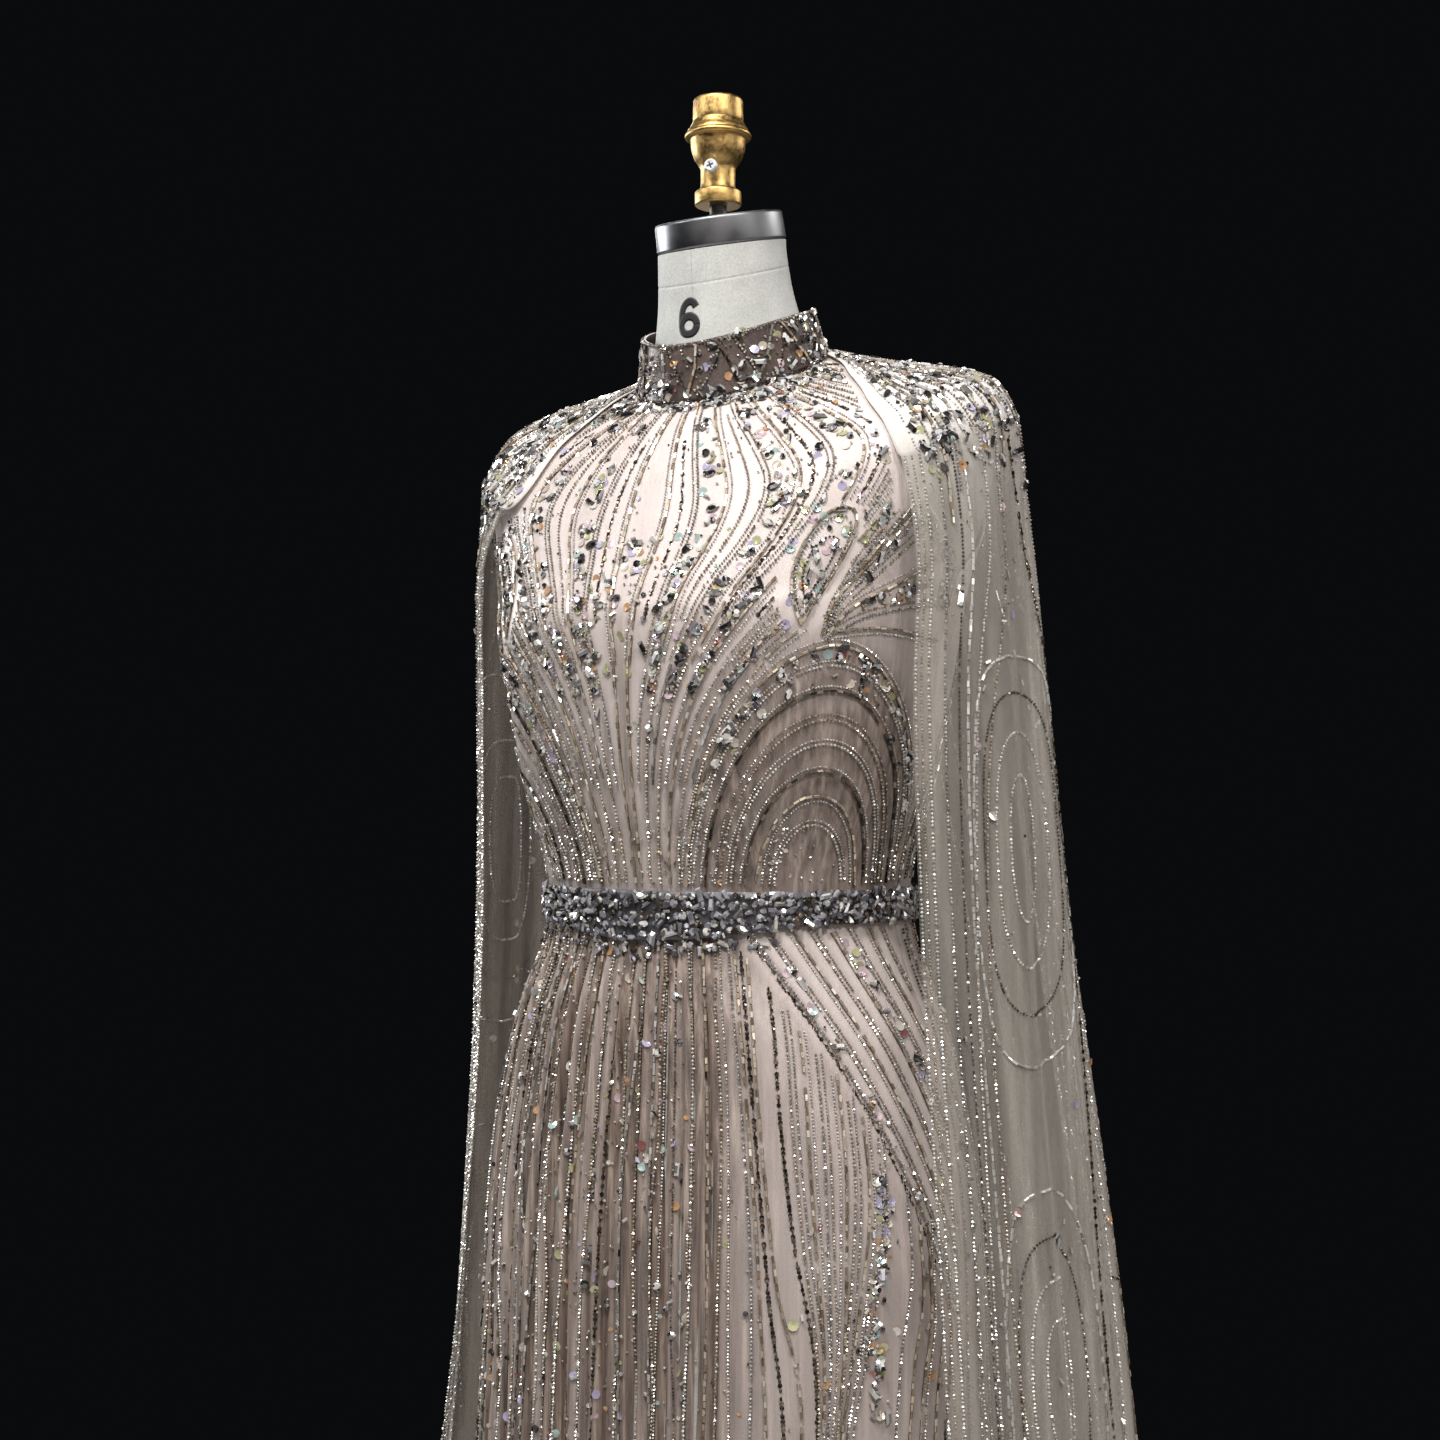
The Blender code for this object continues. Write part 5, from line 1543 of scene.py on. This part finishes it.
# Long lines down a cape: shares of its width at eight rows, and the row where each line ends
CAPE_LINE_ROWS = (0.6, 2.2, 3.6, 5.0, 6.6, 8.2, 9.8, 11.6)
CAPE_LINES = (
    ((0.036, 0.036, 0.036, 0.036, 0.036, 0.036, 0.036, 0.036), 11.95, "seed", BRIGHT),
    ((0.060, 0.062, 0.068, 0.072, 0.066, 0.072, 0.085, 0.095), 11.2, "seed", SILVER),
    ((0.078, 0.085, 0.100, 0.115, 0.098, 0.104, 0.130, 0.120), 9.6, "seed", DARK),
    ((0.092, 0.100, 0.118, 0.140, 0.124, 0.150, 0.170, 0.150), 10.4, "bugle", BRIGHT),
    ((0.110, 0.125, 0.170, 0.205, 0.140, 0.120, 0.150, 0.190), 10.9, "seed", BRIGHT),
    ((0.150, 0.170, 0.225, 0.270, 0.180, 0.170, 0.240, 0.260), 10.2, "seed", CHAMPAGNE),
    ((0.200, 0.215, 0.270, 0.350, 0.430, 0.400, 0.390, 0.330), 9.8, "disc_small", DARK),
    ((0.290, 0.310, 0.360, 0.420, 0.455, 0.450, 0.400, 0.420), 10.4, "seed", BRIGHT),
    ((0.350, 0.370, 0.410, 0.455, 0.475, 0.480, 0.470, 0.480), 10.8, "bugle", BRIGHT),
    ((0.400, 0.420, 0.460, 0.500, 0.510, 0.520, 0.520, 0.530), 9.6, "seed", DARK),
    ((0.540, 0.550, 0.590, 0.650, 0.720, 0.760, 0.700, 0.700), 10.1, "seed_small", BRIGHT),
    ((0.630, 0.640, 0.670, 0.700, 0.640, 0.620, 0.600, 0.620), 10.8, "bugle", CHAMPAGNE),
    ((0.720, 0.725, 0.750, 0.790, 0.840, 0.870, 0.840, 0.820), 9.3, "seed", DARK),
    ((0.860, 0.860, 0.870, 0.890, 0.910, 0.915, 0.900, 0.890), 10.2, "bugle", BRIGHT),
    ((0.955, 0.955, 0.955, 0.955, 0.955, 0.955, 0.955, 0.955), 11.95, "seed", BRIGHT),
)
# Elongated nested loops: (share, row) of the centre, half width in shares and half height in rows
CAPE_LOOPS = ((0.285, 6.60, 0.150, 0.80), (0.270, 8.55, 0.120, 0.70), (0.64, 7.6, 0.140, 1.00))
# The rings of each loop: size, shape, finish
CAPE_LOOP_RINGS = (
    (1.0, "bugle", BRIGHT), (0.76, "seed", DARK), (0.54, "seed", BRIGHT), (0.33, "seed", BRIGHT),
)
# Lines along the front edge below the shoulder, where the edge is plain: share of the width, shape, finish
CAPE_EDGE_LINES = ((0.006, "seed", BRIGHT), (0.020, "seed_small", CHAMPAGNE))
CAPE_EDGE_LINES_FROM = 3.9
# How far strung beads sit in the net, so that they show from both of its sides
CAPE_BEADS_SUNK = 0.0011
# Lines over the shoulder from the neck to the shoulder tip: share of the cape's width
EPAULETTE_LINES = 12
SHOULDER_STONES, SHOULDER_FINE_BEADS, CAPE_DISCS = 300, 300, 240
# The unbeaded share of each cape along its front edge on the shoulder
PLAIN_EDGE = {1: 0.045, -1: 0.012}


def rounded(wave, power):
    """A sine or cosine whose swing is flattened, which squares an oval's shoulders."""
    return np.sign(wave) * np.abs(wave) ** power


def make_epaulette(chart, side):
    """The close beading on the shoulder, densest at the front edge and at the shoulder's tip."""
    for k in range(EPAULETTE_LINES):
        share = PLAIN_EDGE[side] + 0.012 + 0.33 * (k / EPAULETTE_LINES) ** 1.2
        path = cape_path(side, (share, share + 0.01 * math.sin(k * 2.1), share * 1.15, share * 1.25),
                         (0.3, 1.6, 3.0, 4.3 + 0.5 * math.sin(k * 1.3)), 200)
        chart.string(path, ("seed", "bugle")[k % 2], (BRIGHT, CHAMPAGNE, SILVER)[k % 3])
    rows = drawn(SHOULDER_STONES, 0.3, 4.1, 0.75)
    plain = PLAIN_EDGE[side]
    across = np.clip(np.abs(RANDOM.normal(0.06, 0.17, SHOULDER_STONES)) + plain, plain, 0.85)
    chart.scatter(cape_angle(side, across, rows), rows, NECK_MIX, tilt=SHOULDER_TILT)
    rows = drawn(SHOULDER_FINE_BEADS, 0.3, 5.2, 0.8)
    across = RANDOM.uniform(plain, 0.80, SHOULDER_FINE_BEADS)
    chart.scatter(cape_angle(side, across, rows), rows, FINE_MIX, tilt=SHOULDER_TILT)


def cape_loop(chart, side, across, row, half_width, half_height):
    for size, shape, finish in CAPE_LOOP_RINGS:
        turn = np.linspace(0, 2 * math.pi, 72)
        ring = cape_path(side, across + half_width * size * rounded(np.sin(turn), 0.58),
                         row - half_height * size * rounded(np.cos(turn), 0.90), 360)
        chart.string(ring, shape, finish, fill=0.94)


def make_cape_beads(side):
    beading = Beading(CAPE_NAME[side])
    chart = Chart(beading, cape_base, cape_lift(side), on_cape)
    strung = Chart(beading, cape_base, cape_lift(side), on_cape, raised=-CAPE_BEADS_SUNK)
    for shares, end_row, shape, finish in CAPE_LINES:
        path = cape_path(side, shares, CAPE_LINE_ROWS)
        lies_on = chart if shape == "disc_small" else strung
        lies_on.string(path[path[:, 1] < end_row], shape, finish, fill=0.92)
    for share, shape, finish in CAPE_EDGE_LINES:
        path = cape_path(side, (share,) * len(CAPE_LINE_ROWS), CAPE_LINE_ROWS)
        strung.string(path[path[:, 1] > CAPE_EDGE_LINES_FROM], shape, finish, fill=0.94)
    for loop in CAPE_LOOPS:
        cape_loop(strung, side, *loop)
    make_epaulette(chart, side)
    rows = drawn(CAPE_DISCS, 0.4, 11.2, 1.1)
    across = RANDOM.uniform(0.06, 0.94, CAPE_DISCS)
    chart.scatter(cape_angle(side, across, rows), rows, SKIRT_MIX, tilt=LOOSE_TILT)
    return beading.build()


# ---------------- collar and belt beading

# Half the collar's stones lie near its foot and half above
COLLAR_STRINGS, COLLAR_STONES, COLLAR_FINE_BEADS = 30, 250, 300
# How far round the collar and the belt their beads go, to either side of the front
BANDS_BEADED = 177


def make_collar_beads():
    beading = Beading("collar")
    chart = Chart(beading, collar_surface)
    for k in range(COLLAR_STRINGS):
        middle = -172 + 344 * (k + 0.5) / COLLAR_STRINGS
        lean = 10 * math.sin(k * 1.7)
        path = smooth_line(((middle + lean, 0.05), (middle + 1.5, 0.5), (middle - lean, 0.92)), 60)
        chart.string(path, ("seed", "bugle")[k % 2], (CHAMPAGNE, SILVER, DARK)[k % 3])
    for down, shape, finish in ((0.03, "seed", SILVER), (0.965, "seed_small", DARK)):
        chart.string(pairs(np.linspace(-178, 178, 600), down), shape, finish, jitter=0.25)
    half = COLLAR_STONES // 2
    downs = np.concatenate((RANDOM.uniform(0.68, 0.98, half), RANDOM.uniform(0.02, 0.75, half)))
    angles = RANDOM.uniform(-BANDS_BEADED, BANDS_BEADED, len(downs))
    chart.scatter(angles, downs, NECK_MIX, tilt=SHOULDER_TILT)
    angles = RANDOM.uniform(-BANDS_BEADED, BANDS_BEADED, COLLAR_FINE_BEADS)
    chart.loose(angles, 0.03, 0.97, FINE_MIX)
    return beading.build()


# Rows of stones, stones in a row, small beads between them, and drops below the dip
BELT_ROWS, BELT_STONES, BELT_SMALL_BEADS, BELT_DROPS = 5, 165, 760, 56


def make_belt_beads():
    """Stones packed side by side over the whole belt, with a few that spill below its dip."""
    beading = Beading("waist_belt")
    chart = Chart(beading, belt_surface)
    for row in range(BELT_ROWS):
        down = 0.08 + 0.84 * row / (BELT_ROWS - 1)
        step = 2 * BANDS_BEADED / BELT_STONES
        angle = -BANDS_BEADED + step * (np.arange(BELT_STONES) + 0.5 * (row % 2))
        angle = angle + RANDOM.uniform(-0.8, 0.8, BELT_STONES)
        downs = np.clip(down + RANDOM.uniform(-0.06, 0.06, BELT_STONES), 0.03, 0.99)
        chart.scatter(angle, downs, BELT_MIX, scale=(0.80, 1.10), tilt=0.40)
    angles = RANDOM.uniform(-BANDS_BEADED, BANDS_BEADED, BELT_SMALL_BEADS)
    chart.loose(angles, 0.0, 1.0, BELT_FILL, tilt=0.3)
    drops = RANDOM.normal(-4, 20, BELT_DROPS)
    below_dip = 0.013 * RANDOM.random(BELT_DROPS) * np.exp(-(drops / 30) ** 2)
    rows = row_at(BELT_BOTTOM_FRONT_Z + 0.001 - below_dip)
    below = Chart(beading, figure, gathers, None, raised=0.0008)
    below.scatter(drops, rows, BELT_MIX, scale=(0.7, 0.95))
    return beading.build()


FRONT_BEADS = make_front_beads()
BACK_LEFT_BEADS, BACK_RIGHT_BEADS = make_back_beads(1), make_back_beads(-1)
SKIRT_FRONT_BEADS = make_skirt_front_beads()
SKIRT_LEFT_BEADS, SKIRT_RIGHT_BEADS = make_skirt_back_beads(1), make_skirt_back_beads(-1)
CAPE_LEFT_BEADS, CAPE_RIGHT_BEADS = make_cape_beads(1), make_cape_beads(-1)
COLLAR_BEADS = make_collar_beads()
make_belt_beads()


# ---------------- the dress form

def neck_ring(z, radius, centre_y):
    drop = radius * math.tan(NECK_TILT)
    return (radius, radius, radius, centre_y, 2.0, z - drop, z, z + drop)


# The seam round the neck, below the cap and lower at the front
ROUND_SEAM_ROW, ROUND_SEAM_DIP, ROUND_SEAM_WIDTH, SEAM_DEPTH = 1.36, 0.14, 0.028, 0.00028
TORSO_SIDES, TORSO_FOOT_Z = 160, 0.720
# How far the form lies inside the cloth's outer face, and how much further at the shoulders and at the neck
TORSO_INSET, SHOULDER_SPARE, NECK_SPARE = CLOTH + 0.0009, 0.0022, 0.0016


def neck_part(angles):
    """The rings of the form's neck, with its seam as a groove."""
    table = np.array([neck_ring(*row) for row in reversed(NECK_RINGS)])
    runs = (np.linspace(0, 1.1, 8), np.linspace(1.1, 1.6, 28)[1:], np.linspace(1.6, 3, 10)[1:])
    rows = np.concatenate(runs)
    shape = (TORSO_SIDES, table.shape[1])
    rings = np.array([ring_point(np.broadcast_to(along(table, row), shape), angles) for row in rows])
    seam = ROUND_SEAM_ROW + ROUND_SEAM_DIP * np.cos(np.radians(angles))
    groove_shade = SEAM_DEPTH * np.exp(-((rows[:, None] - seam) / ROUND_SEAM_WIDTH) ** 2)
    return rings - unit(rings - rings.mean(axis=1, keepdims=True)) * groove_shade[..., None]


def body_part(angles):
    """The rings of the form below its neck, a little inside the gown's cloth."""
    rings = []
    for row in np.concatenate((np.linspace(0, 9, 28), np.linspace(9, row_at(TORSO_FOOT_Z), 8)[1:])):
        spare = SHOULDER_SPARE * ease(row, 2, 3) * (1 - ease(row, 5, 7)) + NECK_SPARE * (1 - ease(row, 0, 1))
        rows = np.full(TORSO_SIDES, row)
        normal = surface_normal(figure, angles, rows)
        rings.append(figure(angles, rows) - normal * (TORSO_INSET + spare))
    return np.array(rings)


def make_torso():
    """The linen-covered form, with a seam round the neck."""
    angles = np.arange(TORSO_SIDES) * 360 / TORSO_SIDES
    rings = np.concatenate((neck_part(angles), body_part(angles)))
    faces = ring_faces(len(rings), TORSO_SIDES, upwards=False)
    torso = new_object("form_torso_linen", rings, faces, LINEN, sharp=50)
    settle(torso, "form_linen", "form_torso")


NECK_TABLE = np.array([neck_ring(*row) for row in NECK_RINGS])
NUMBER_BOTTOM_Z, NUMBER_HEIGHT, NUMBER_WIDTH, NUMBER_STROKE = 1.4455, 0.0250, 0.0170, 0.0049
BOWL_HEIGHT = 0.0158
NUMBER_THICKNESS, NUMBER_OFF_NECK = 0.00025, 0.00006


def on_neck(across, up, out):
    """Points on the front of the neck, from distances across and up, lifted off it by out."""
    row = np.interp(NUMBER_BOTTOM_Z + up, NECK_TABLE[:, 5], np.arange(len(NECK_TABLE)))
    ring = along(NECK_TABLE, row)
    surface = ring_point(ring, np.degrees(across / ring[..., 0]))
    outward = surface - np.stack((np.zeros(across.shape), ring[..., 3], surface[..., 2]), axis=-1)
    return surface + unit(outward) * out


def number_stroke(name, line, closed):
    """A flat stroke of the number along a line of (across, up) points, with square ends."""
    line = np.asarray(line, float)
    ahead = np.roll(line, -1, axis=0) - np.roll(line, 1, axis=0) if closed else np.gradient(line, axis=0)
    sideways = unit(np.stack((-ahead[:, 1], ahead[:, 0]), axis=-1)) * NUMBER_STROKE / 2
    grid = np.stack([line + sideways * share for share in (1.0, 0.5, 0.0, -0.5, -1.0)], axis=1)
    if closed:
        grid = np.concatenate((grid, grid[:1]))
    outer = on_neck(grid[..., 0], grid[..., 1], NUMBER_OFF_NECK + NUMBER_THICKNESS)
    inner = on_neck(grid[..., 0], grid[..., 1], NUMBER_OFF_NECK)
    points, faces = closed_wall(outer, inner)
    settle(new_object(name, points, faces, INK_AND_RECESS_SHADE), "stand_metal")


def make_neck_number():
    """A plain bold 6 on the front of the neck: a round bowl, and a stem that curls over its left side."""
    half, bowl_half_height = (NUMBER_WIDTH - NUMBER_STROKE) / 2, (BOWL_HEIGHT - NUMBER_STROKE) / 2
    bowl_up = NUMBER_STROKE / 2 + bowl_half_height
    turn = np.arange(48) * 2 * math.pi / 48
    bowl = np.stack((half * np.cos(turn), bowl_up + bowl_half_height * np.sin(turn)), axis=-1)
    number_stroke("neck_number_bowl", bowl, closed=True)
    top = NUMBER_HEIGHT - NUMBER_STROKE / 2
    stem = smooth_line((
        (half * 0.90, top - 0.0038), (half * 0.60, top - 0.0008), (0.0, top), (-half * 0.68, top - 0.0030),
        (-half * 0.98, top - 0.0085), (-half, bowl_up),
    ), 40)
    number_stroke("neck_number_stem", stem, closed=False)


LEAN = Vector((0, -math.sin(NECK_TILT), math.cos(NECK_TILT)))
NECK_TOP = Vector((0, NECK_RINGS[-1][2], NECK_RINGS[-1][0]))


def arc(centre_h, centre_r, radius, start, end, steps=6):
    """Points of a quarter round in a turned profile, as (height, radius) pairs."""
    turn = np.radians(np.linspace(start, end, steps))
    return [(centre_h + radius * math.sin(t), centre_r + radius * math.cos(t)) for t in turn]


CAP_EDGE, CAP_TAPER, CAP_OFF_NECK = 0.0022, 0.0006, 0.0003
FINIAL_AXIS_Y = (NECK_TOP + LEAN * (NECK_CAP_HEIGHT + CAP_OFF_NECK)).y


def make_neck_cap():
    r, h = NECK_CAP_RADIUS - CAP_EDGE, NECK_CAP_HEIGHT - CAP_EDGE
    profile = arc(CAP_EDGE, r, CAP_EDGE, -90, 0) + arc(h, r - CAP_TAPER, CAP_EDGE, 0, 90)
    cap = turned("form_neck_cap_plate", profile, CHROME, "form_chrome", "form_neck_cap", sides=128)
    cap.matrix_world = Matrix.Translation(NECK_TOP + LEAN * CAP_OFF_NECK) @ Matrix.Rotation(NECK_TILT, 4, "X")


def make_finial():
    """Flange, waist, bulb, ring and rounded top, turned from (height, radius) pairs."""
    steps = [(0.0, 0.0140)] + arc(0.0013, 0.0148, 0.0013, -90, 0, 4) + arc(0.0086, 0.0146, 0.0015, 0, 90, 5)
    steps += [(0.0104, 0.0132), (0.0118, 0.0123), (0.0150, 0.0120), (0.0200, 0.0120), (0.0250, 0.0121)]
    steps += [(0.0266, 0.0125), (0.0284, 0.0135), (0.0302, 0.0148), (0.0324, 0.0162), (0.0350, 0.0174)]
    steps += [(0.0380, 0.0183), (0.0412, 0.0188), (0.0444, 0.0190), (0.0458, 0.0193), (0.0464, 0.0206)]
    steps += arc(0.0485, 0.0210, 0.0021, -60, 50, 7) + [(0.0507, 0.0214), (0.0512, 0.0212), (0.0530, 0.0207)]
    steps += [(0.0534, 0.0202), (0.0560, 0.0189), (0.0582, 0.0178), (0.0590, 0.0174), (0.0596, 0.0176)]
    steps += [(0.0640, 0.0175), (0.0700, 0.0173)] + arc(0.0722, 0.0146, 0.0026, 0, 80, 6)
    steps += [(0.0752, 0.0110), (0.0756, 0.0040)]
    profile = [(FINIAL_FOOT_Z + height, radius) for height, radius in steps]
    finial = turned("form_finial_turned", profile, GOLD, "finial_gold", "form_finial")
    finial.matrix_world = Matrix.Translation((0, FINIAL_AXIS_Y, 0))


SCREW_ANGLE, SCREW_HEIGHT, SCREW_START = math.radians(17), 0.0230, 0.0127
RECESS_LENGTH, RECESS_WIDTH, RECESS_DEPTH, RECESS_TOP = 0.0048, 0.0009, 0.0010, 0.0090
RECESS_TURNS = (math.radians(20), math.radians(110))
BOX_FACES = ((3, 2, 1, 0), (4, 5, 6, 7), (0, 1, 5, 4), (1, 2, 6, 5), (2, 3, 7, 6), (3, 0, 4, 7))


def cross_recess_shade():
    """Two bars that cross in the screw's head, black as painted shade in its recess."""
    points, faces = [], []
    for turn in RECESS_TURNS:
        length = np.array((math.cos(turn), math.sin(turn), 0)) * RECESS_LENGTH / 2
        width = np.array((-math.sin(turn), math.cos(turn), 0)) * RECESS_WIDTH / 2
        faces += [[len(points) + k for k in face] for face in BOX_FACES]
        for height in (RECESS_TOP - RECESS_DEPTH, RECESS_TOP):
            level = np.array((0, 0, height))
            points += [level - length - width, level + length - width]
            points += [level + length + width, level - length + width]
    return settle(new_object("finial_screw_recess_shade", points, faces, INK_AND_RECESS_SHADE, smooth=False), "screw_steel")


def make_screw():
    """The finial's clamping screw: a round head with a cross recess, painted dark inside as shade."""
    outward = Vector((math.sin(SCREW_ANGLE), -math.cos(SCREW_ANGLE), 0))
    foot = Vector((0, FINIAL_AXIS_Y, FINIAL_FOOT_Z + SCREW_HEIGHT)) + outward * SCREW_START
    place = Matrix.Translation(foot) @ outward.to_track_quat("Z", "Y").to_matrix().to_4x4()
    profile = [(0.0, 0.0018), (0.0040, 0.0018), (0.0041, 0.0040), (0.0046, 0.0045), (0.0076, 0.0045)]
    profile += [(0.0085, 0.0041), (0.0089, 0.0033), (0.0088, 0.0029), (0.0088, 0.0010)]
    screw = turned("form_finial_screw_head", profile, STEEL, "screw_steel", "form_finial_screw", sides=32)
    screw.matrix_world = place
    cross_recess_shade().matrix_world = place


# The turned parts whose solids are right keep them: node, finish, colour slot
KEPT_NODES = (
    ("form_rod", STAND, "form_chrome"),
    ("stand_pole", STAND, "stand_metal"),
    ("stand_base", STAND, "stand_metal"),
)


def finish_kept_nodes():
    for name, finish, slot in KEPT_NODES:
        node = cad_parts[name]
        node.data.materials.clear()
        node.data.materials.append(finish)


make_torso()
make_neck_number()
make_neck_cap()
make_finial()
make_screw()
finish_kept_nodes()

# ---------------- cloth facts

# Each panel's cut as (width, length) and its flat area, as it lay before it was sewn and hung
CUTS = (
    (BODICE_FRONT, (0.56, 0.42), 0.155, "stretched", FRONT_BEADS),
    (BODICE_BACK_LEFT, (0.27, 0.42), 0.070, "stretched", BACK_LEFT_BEADS),
    (BODICE_BACK_RIGHT, (0.27, 0.42), 0.070, "stretched", BACK_RIGHT_BEADS),
    (SKIRT_FRONT, (1.10, 1.08), 0.75, "gathered", SKIRT_FRONT_BEADS),
    (SKIRT_BACK_LEFT, (0.50, 1.08), 0.36, "hung", SKIRT_LEFT_BEADS),
    (SKIRT_BACK_RIGHT, (0.50, 1.08), 0.36, "hung", SKIRT_RIGHT_BEADS),
    (COLLAR, (0.42, 0.05), 0.016, "stretched", COLLAR_BEADS),
    (CAPE_LEFT, (0.72, 1.55), 0.72, "hung", CAPE_LEFT_BEADS),
    (CAPE_RIGHT, (0.72, 1.55), 0.72, "hung", CAPE_RIGHT_BEADS),
)
for cloth, flat, area, held, beads in CUTS:
    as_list(beads)


# ---------------- stage, lights and camera

FLOOR_RADIUS, FLOOR_SIDES = 2.05, 96
CAMERA_AZIMUTH, CAMERA_DISTANCE, CAMERA_HEIGHT = math.radians(32), 1.45, 1.14
# The photo's focal length and width in its pixels, and how far its middle lies beside and above the axis
FOCAL_PIXELS, PHOTO_PIXELS = 2100, 1440
AXIS_OFFSET, HORIZON_DROP = -5 / FOCAL_PIXELS, 67 / FOCAL_PIXELS
SENSOR_WIDTH = 36.0


def make_floor():
    around = np.arange(FLOOR_SIDES) * 2 * math.pi / FLOOR_SIDES
    points = [(FLOOR_RADIUS * math.cos(a), FLOOR_RADIUS * math.sin(a), 0.0) for a in around]
    new_object("floor", points, [list(range(FLOOR_SIDES))], FLOOR, smooth=False)


def area_light(name, place, target, size, power, colour):
    data = bpy.data.lights.new(name, "AREA")
    data.shape, data.size, data.energy, data.color = "DISK", size, power, colour
    light = linked(name, data)
    light.location = place
    light.rotation_euler = (Vector(target) - Vector(place)).to_track_quat("-Z", "Y").to_euler()


# Name, place, target, width, power in watts, colour
LIGHTS = (
    ("key", (0.10, -0.98, 2.75), (-0.02, -0.05, 1.35), 0.50, 35, (1.0, 0.985, 0.965)),
    ("high_left", (1.45, -0.95, 2.80), (0.05, 0, 1.10), 0.50, 31, (1.0, 0.98, 0.965)),
    ("front_low", (1.30, -2.10, 1.30), (0, 0, 0.95), 1.10, 4, (1.0, 0.90, 0.82)),
    ("front_right", (-1.15, -1.20, 2.45), (-0.10, 0, 1.40), 0.50, 11, (0.95, 0.98, 1.0)),
    ("left", (2.30, -0.20, 1.90), (0, 0, 1.00), 0.70, 6, (1.0, 0.98, 0.96)),
    ("right", (-2.20, 0.10, 1.80), (0, 0, 1.00), 0.70, 29, (0.96, 0.98, 1.0)),
    ("back_left", (1.50, 1.90, 2.40), (0, 0, 1.10), 0.90, 20, (1.0, 0.98, 0.96)),
    ("back_right", (-1.50, 1.90, 2.40), (0, 0, 1.10), 0.90, 20, (1.0, 0.98, 0.96)),
)
WORLD_COLOUR = (0.0032, 0.0034, 0.0038, 1.0)


def make_lights():
    for light in LIGHTS:
        area_light(*light)
    world = bpy.data.worlds.new("studio")
    bpy.context.scene.world = world
    world.use_nodes = True
    world.node_tree.nodes["Background"].inputs["Color"].default_value = WORLD_COLOUR
    world.node_tree.nodes["Background"].inputs["Strength"].default_value = 1.0
    bpy.context.scene.view_settings.view_transform = "Standard"


def make_camera():
    data = bpy.data.cameras.new("camera")
    data.sensor_width = SENSOR_WIDTH
    data.lens = SENSOR_WIDTH * FOCAL_PIXELS / PHOTO_PIXELS
    data.clip_start, data.clip_end = 0.02, 60
    camera = linked("camera", data)
    a = CAMERA_AZIMUTH
    camera.location = (CAMERA_DISTANCE * math.sin(a), -CAMERA_DISTANCE * math.cos(a), CAMERA_HEIGHT)
    level = Vector((-math.sin(a), math.cos(a), 0)) + Vector((math.cos(a), math.sin(a), 0)) * AXIS_OFFSET
    look = level.normalized() + Vector((0, 0, HORIZON_DROP))
    camera.rotation_euler = look.to_track_quat("-Z", "Y").to_euler()
    bpy.context.scene.camera = camera


make_floor()
make_lights()
make_camera()
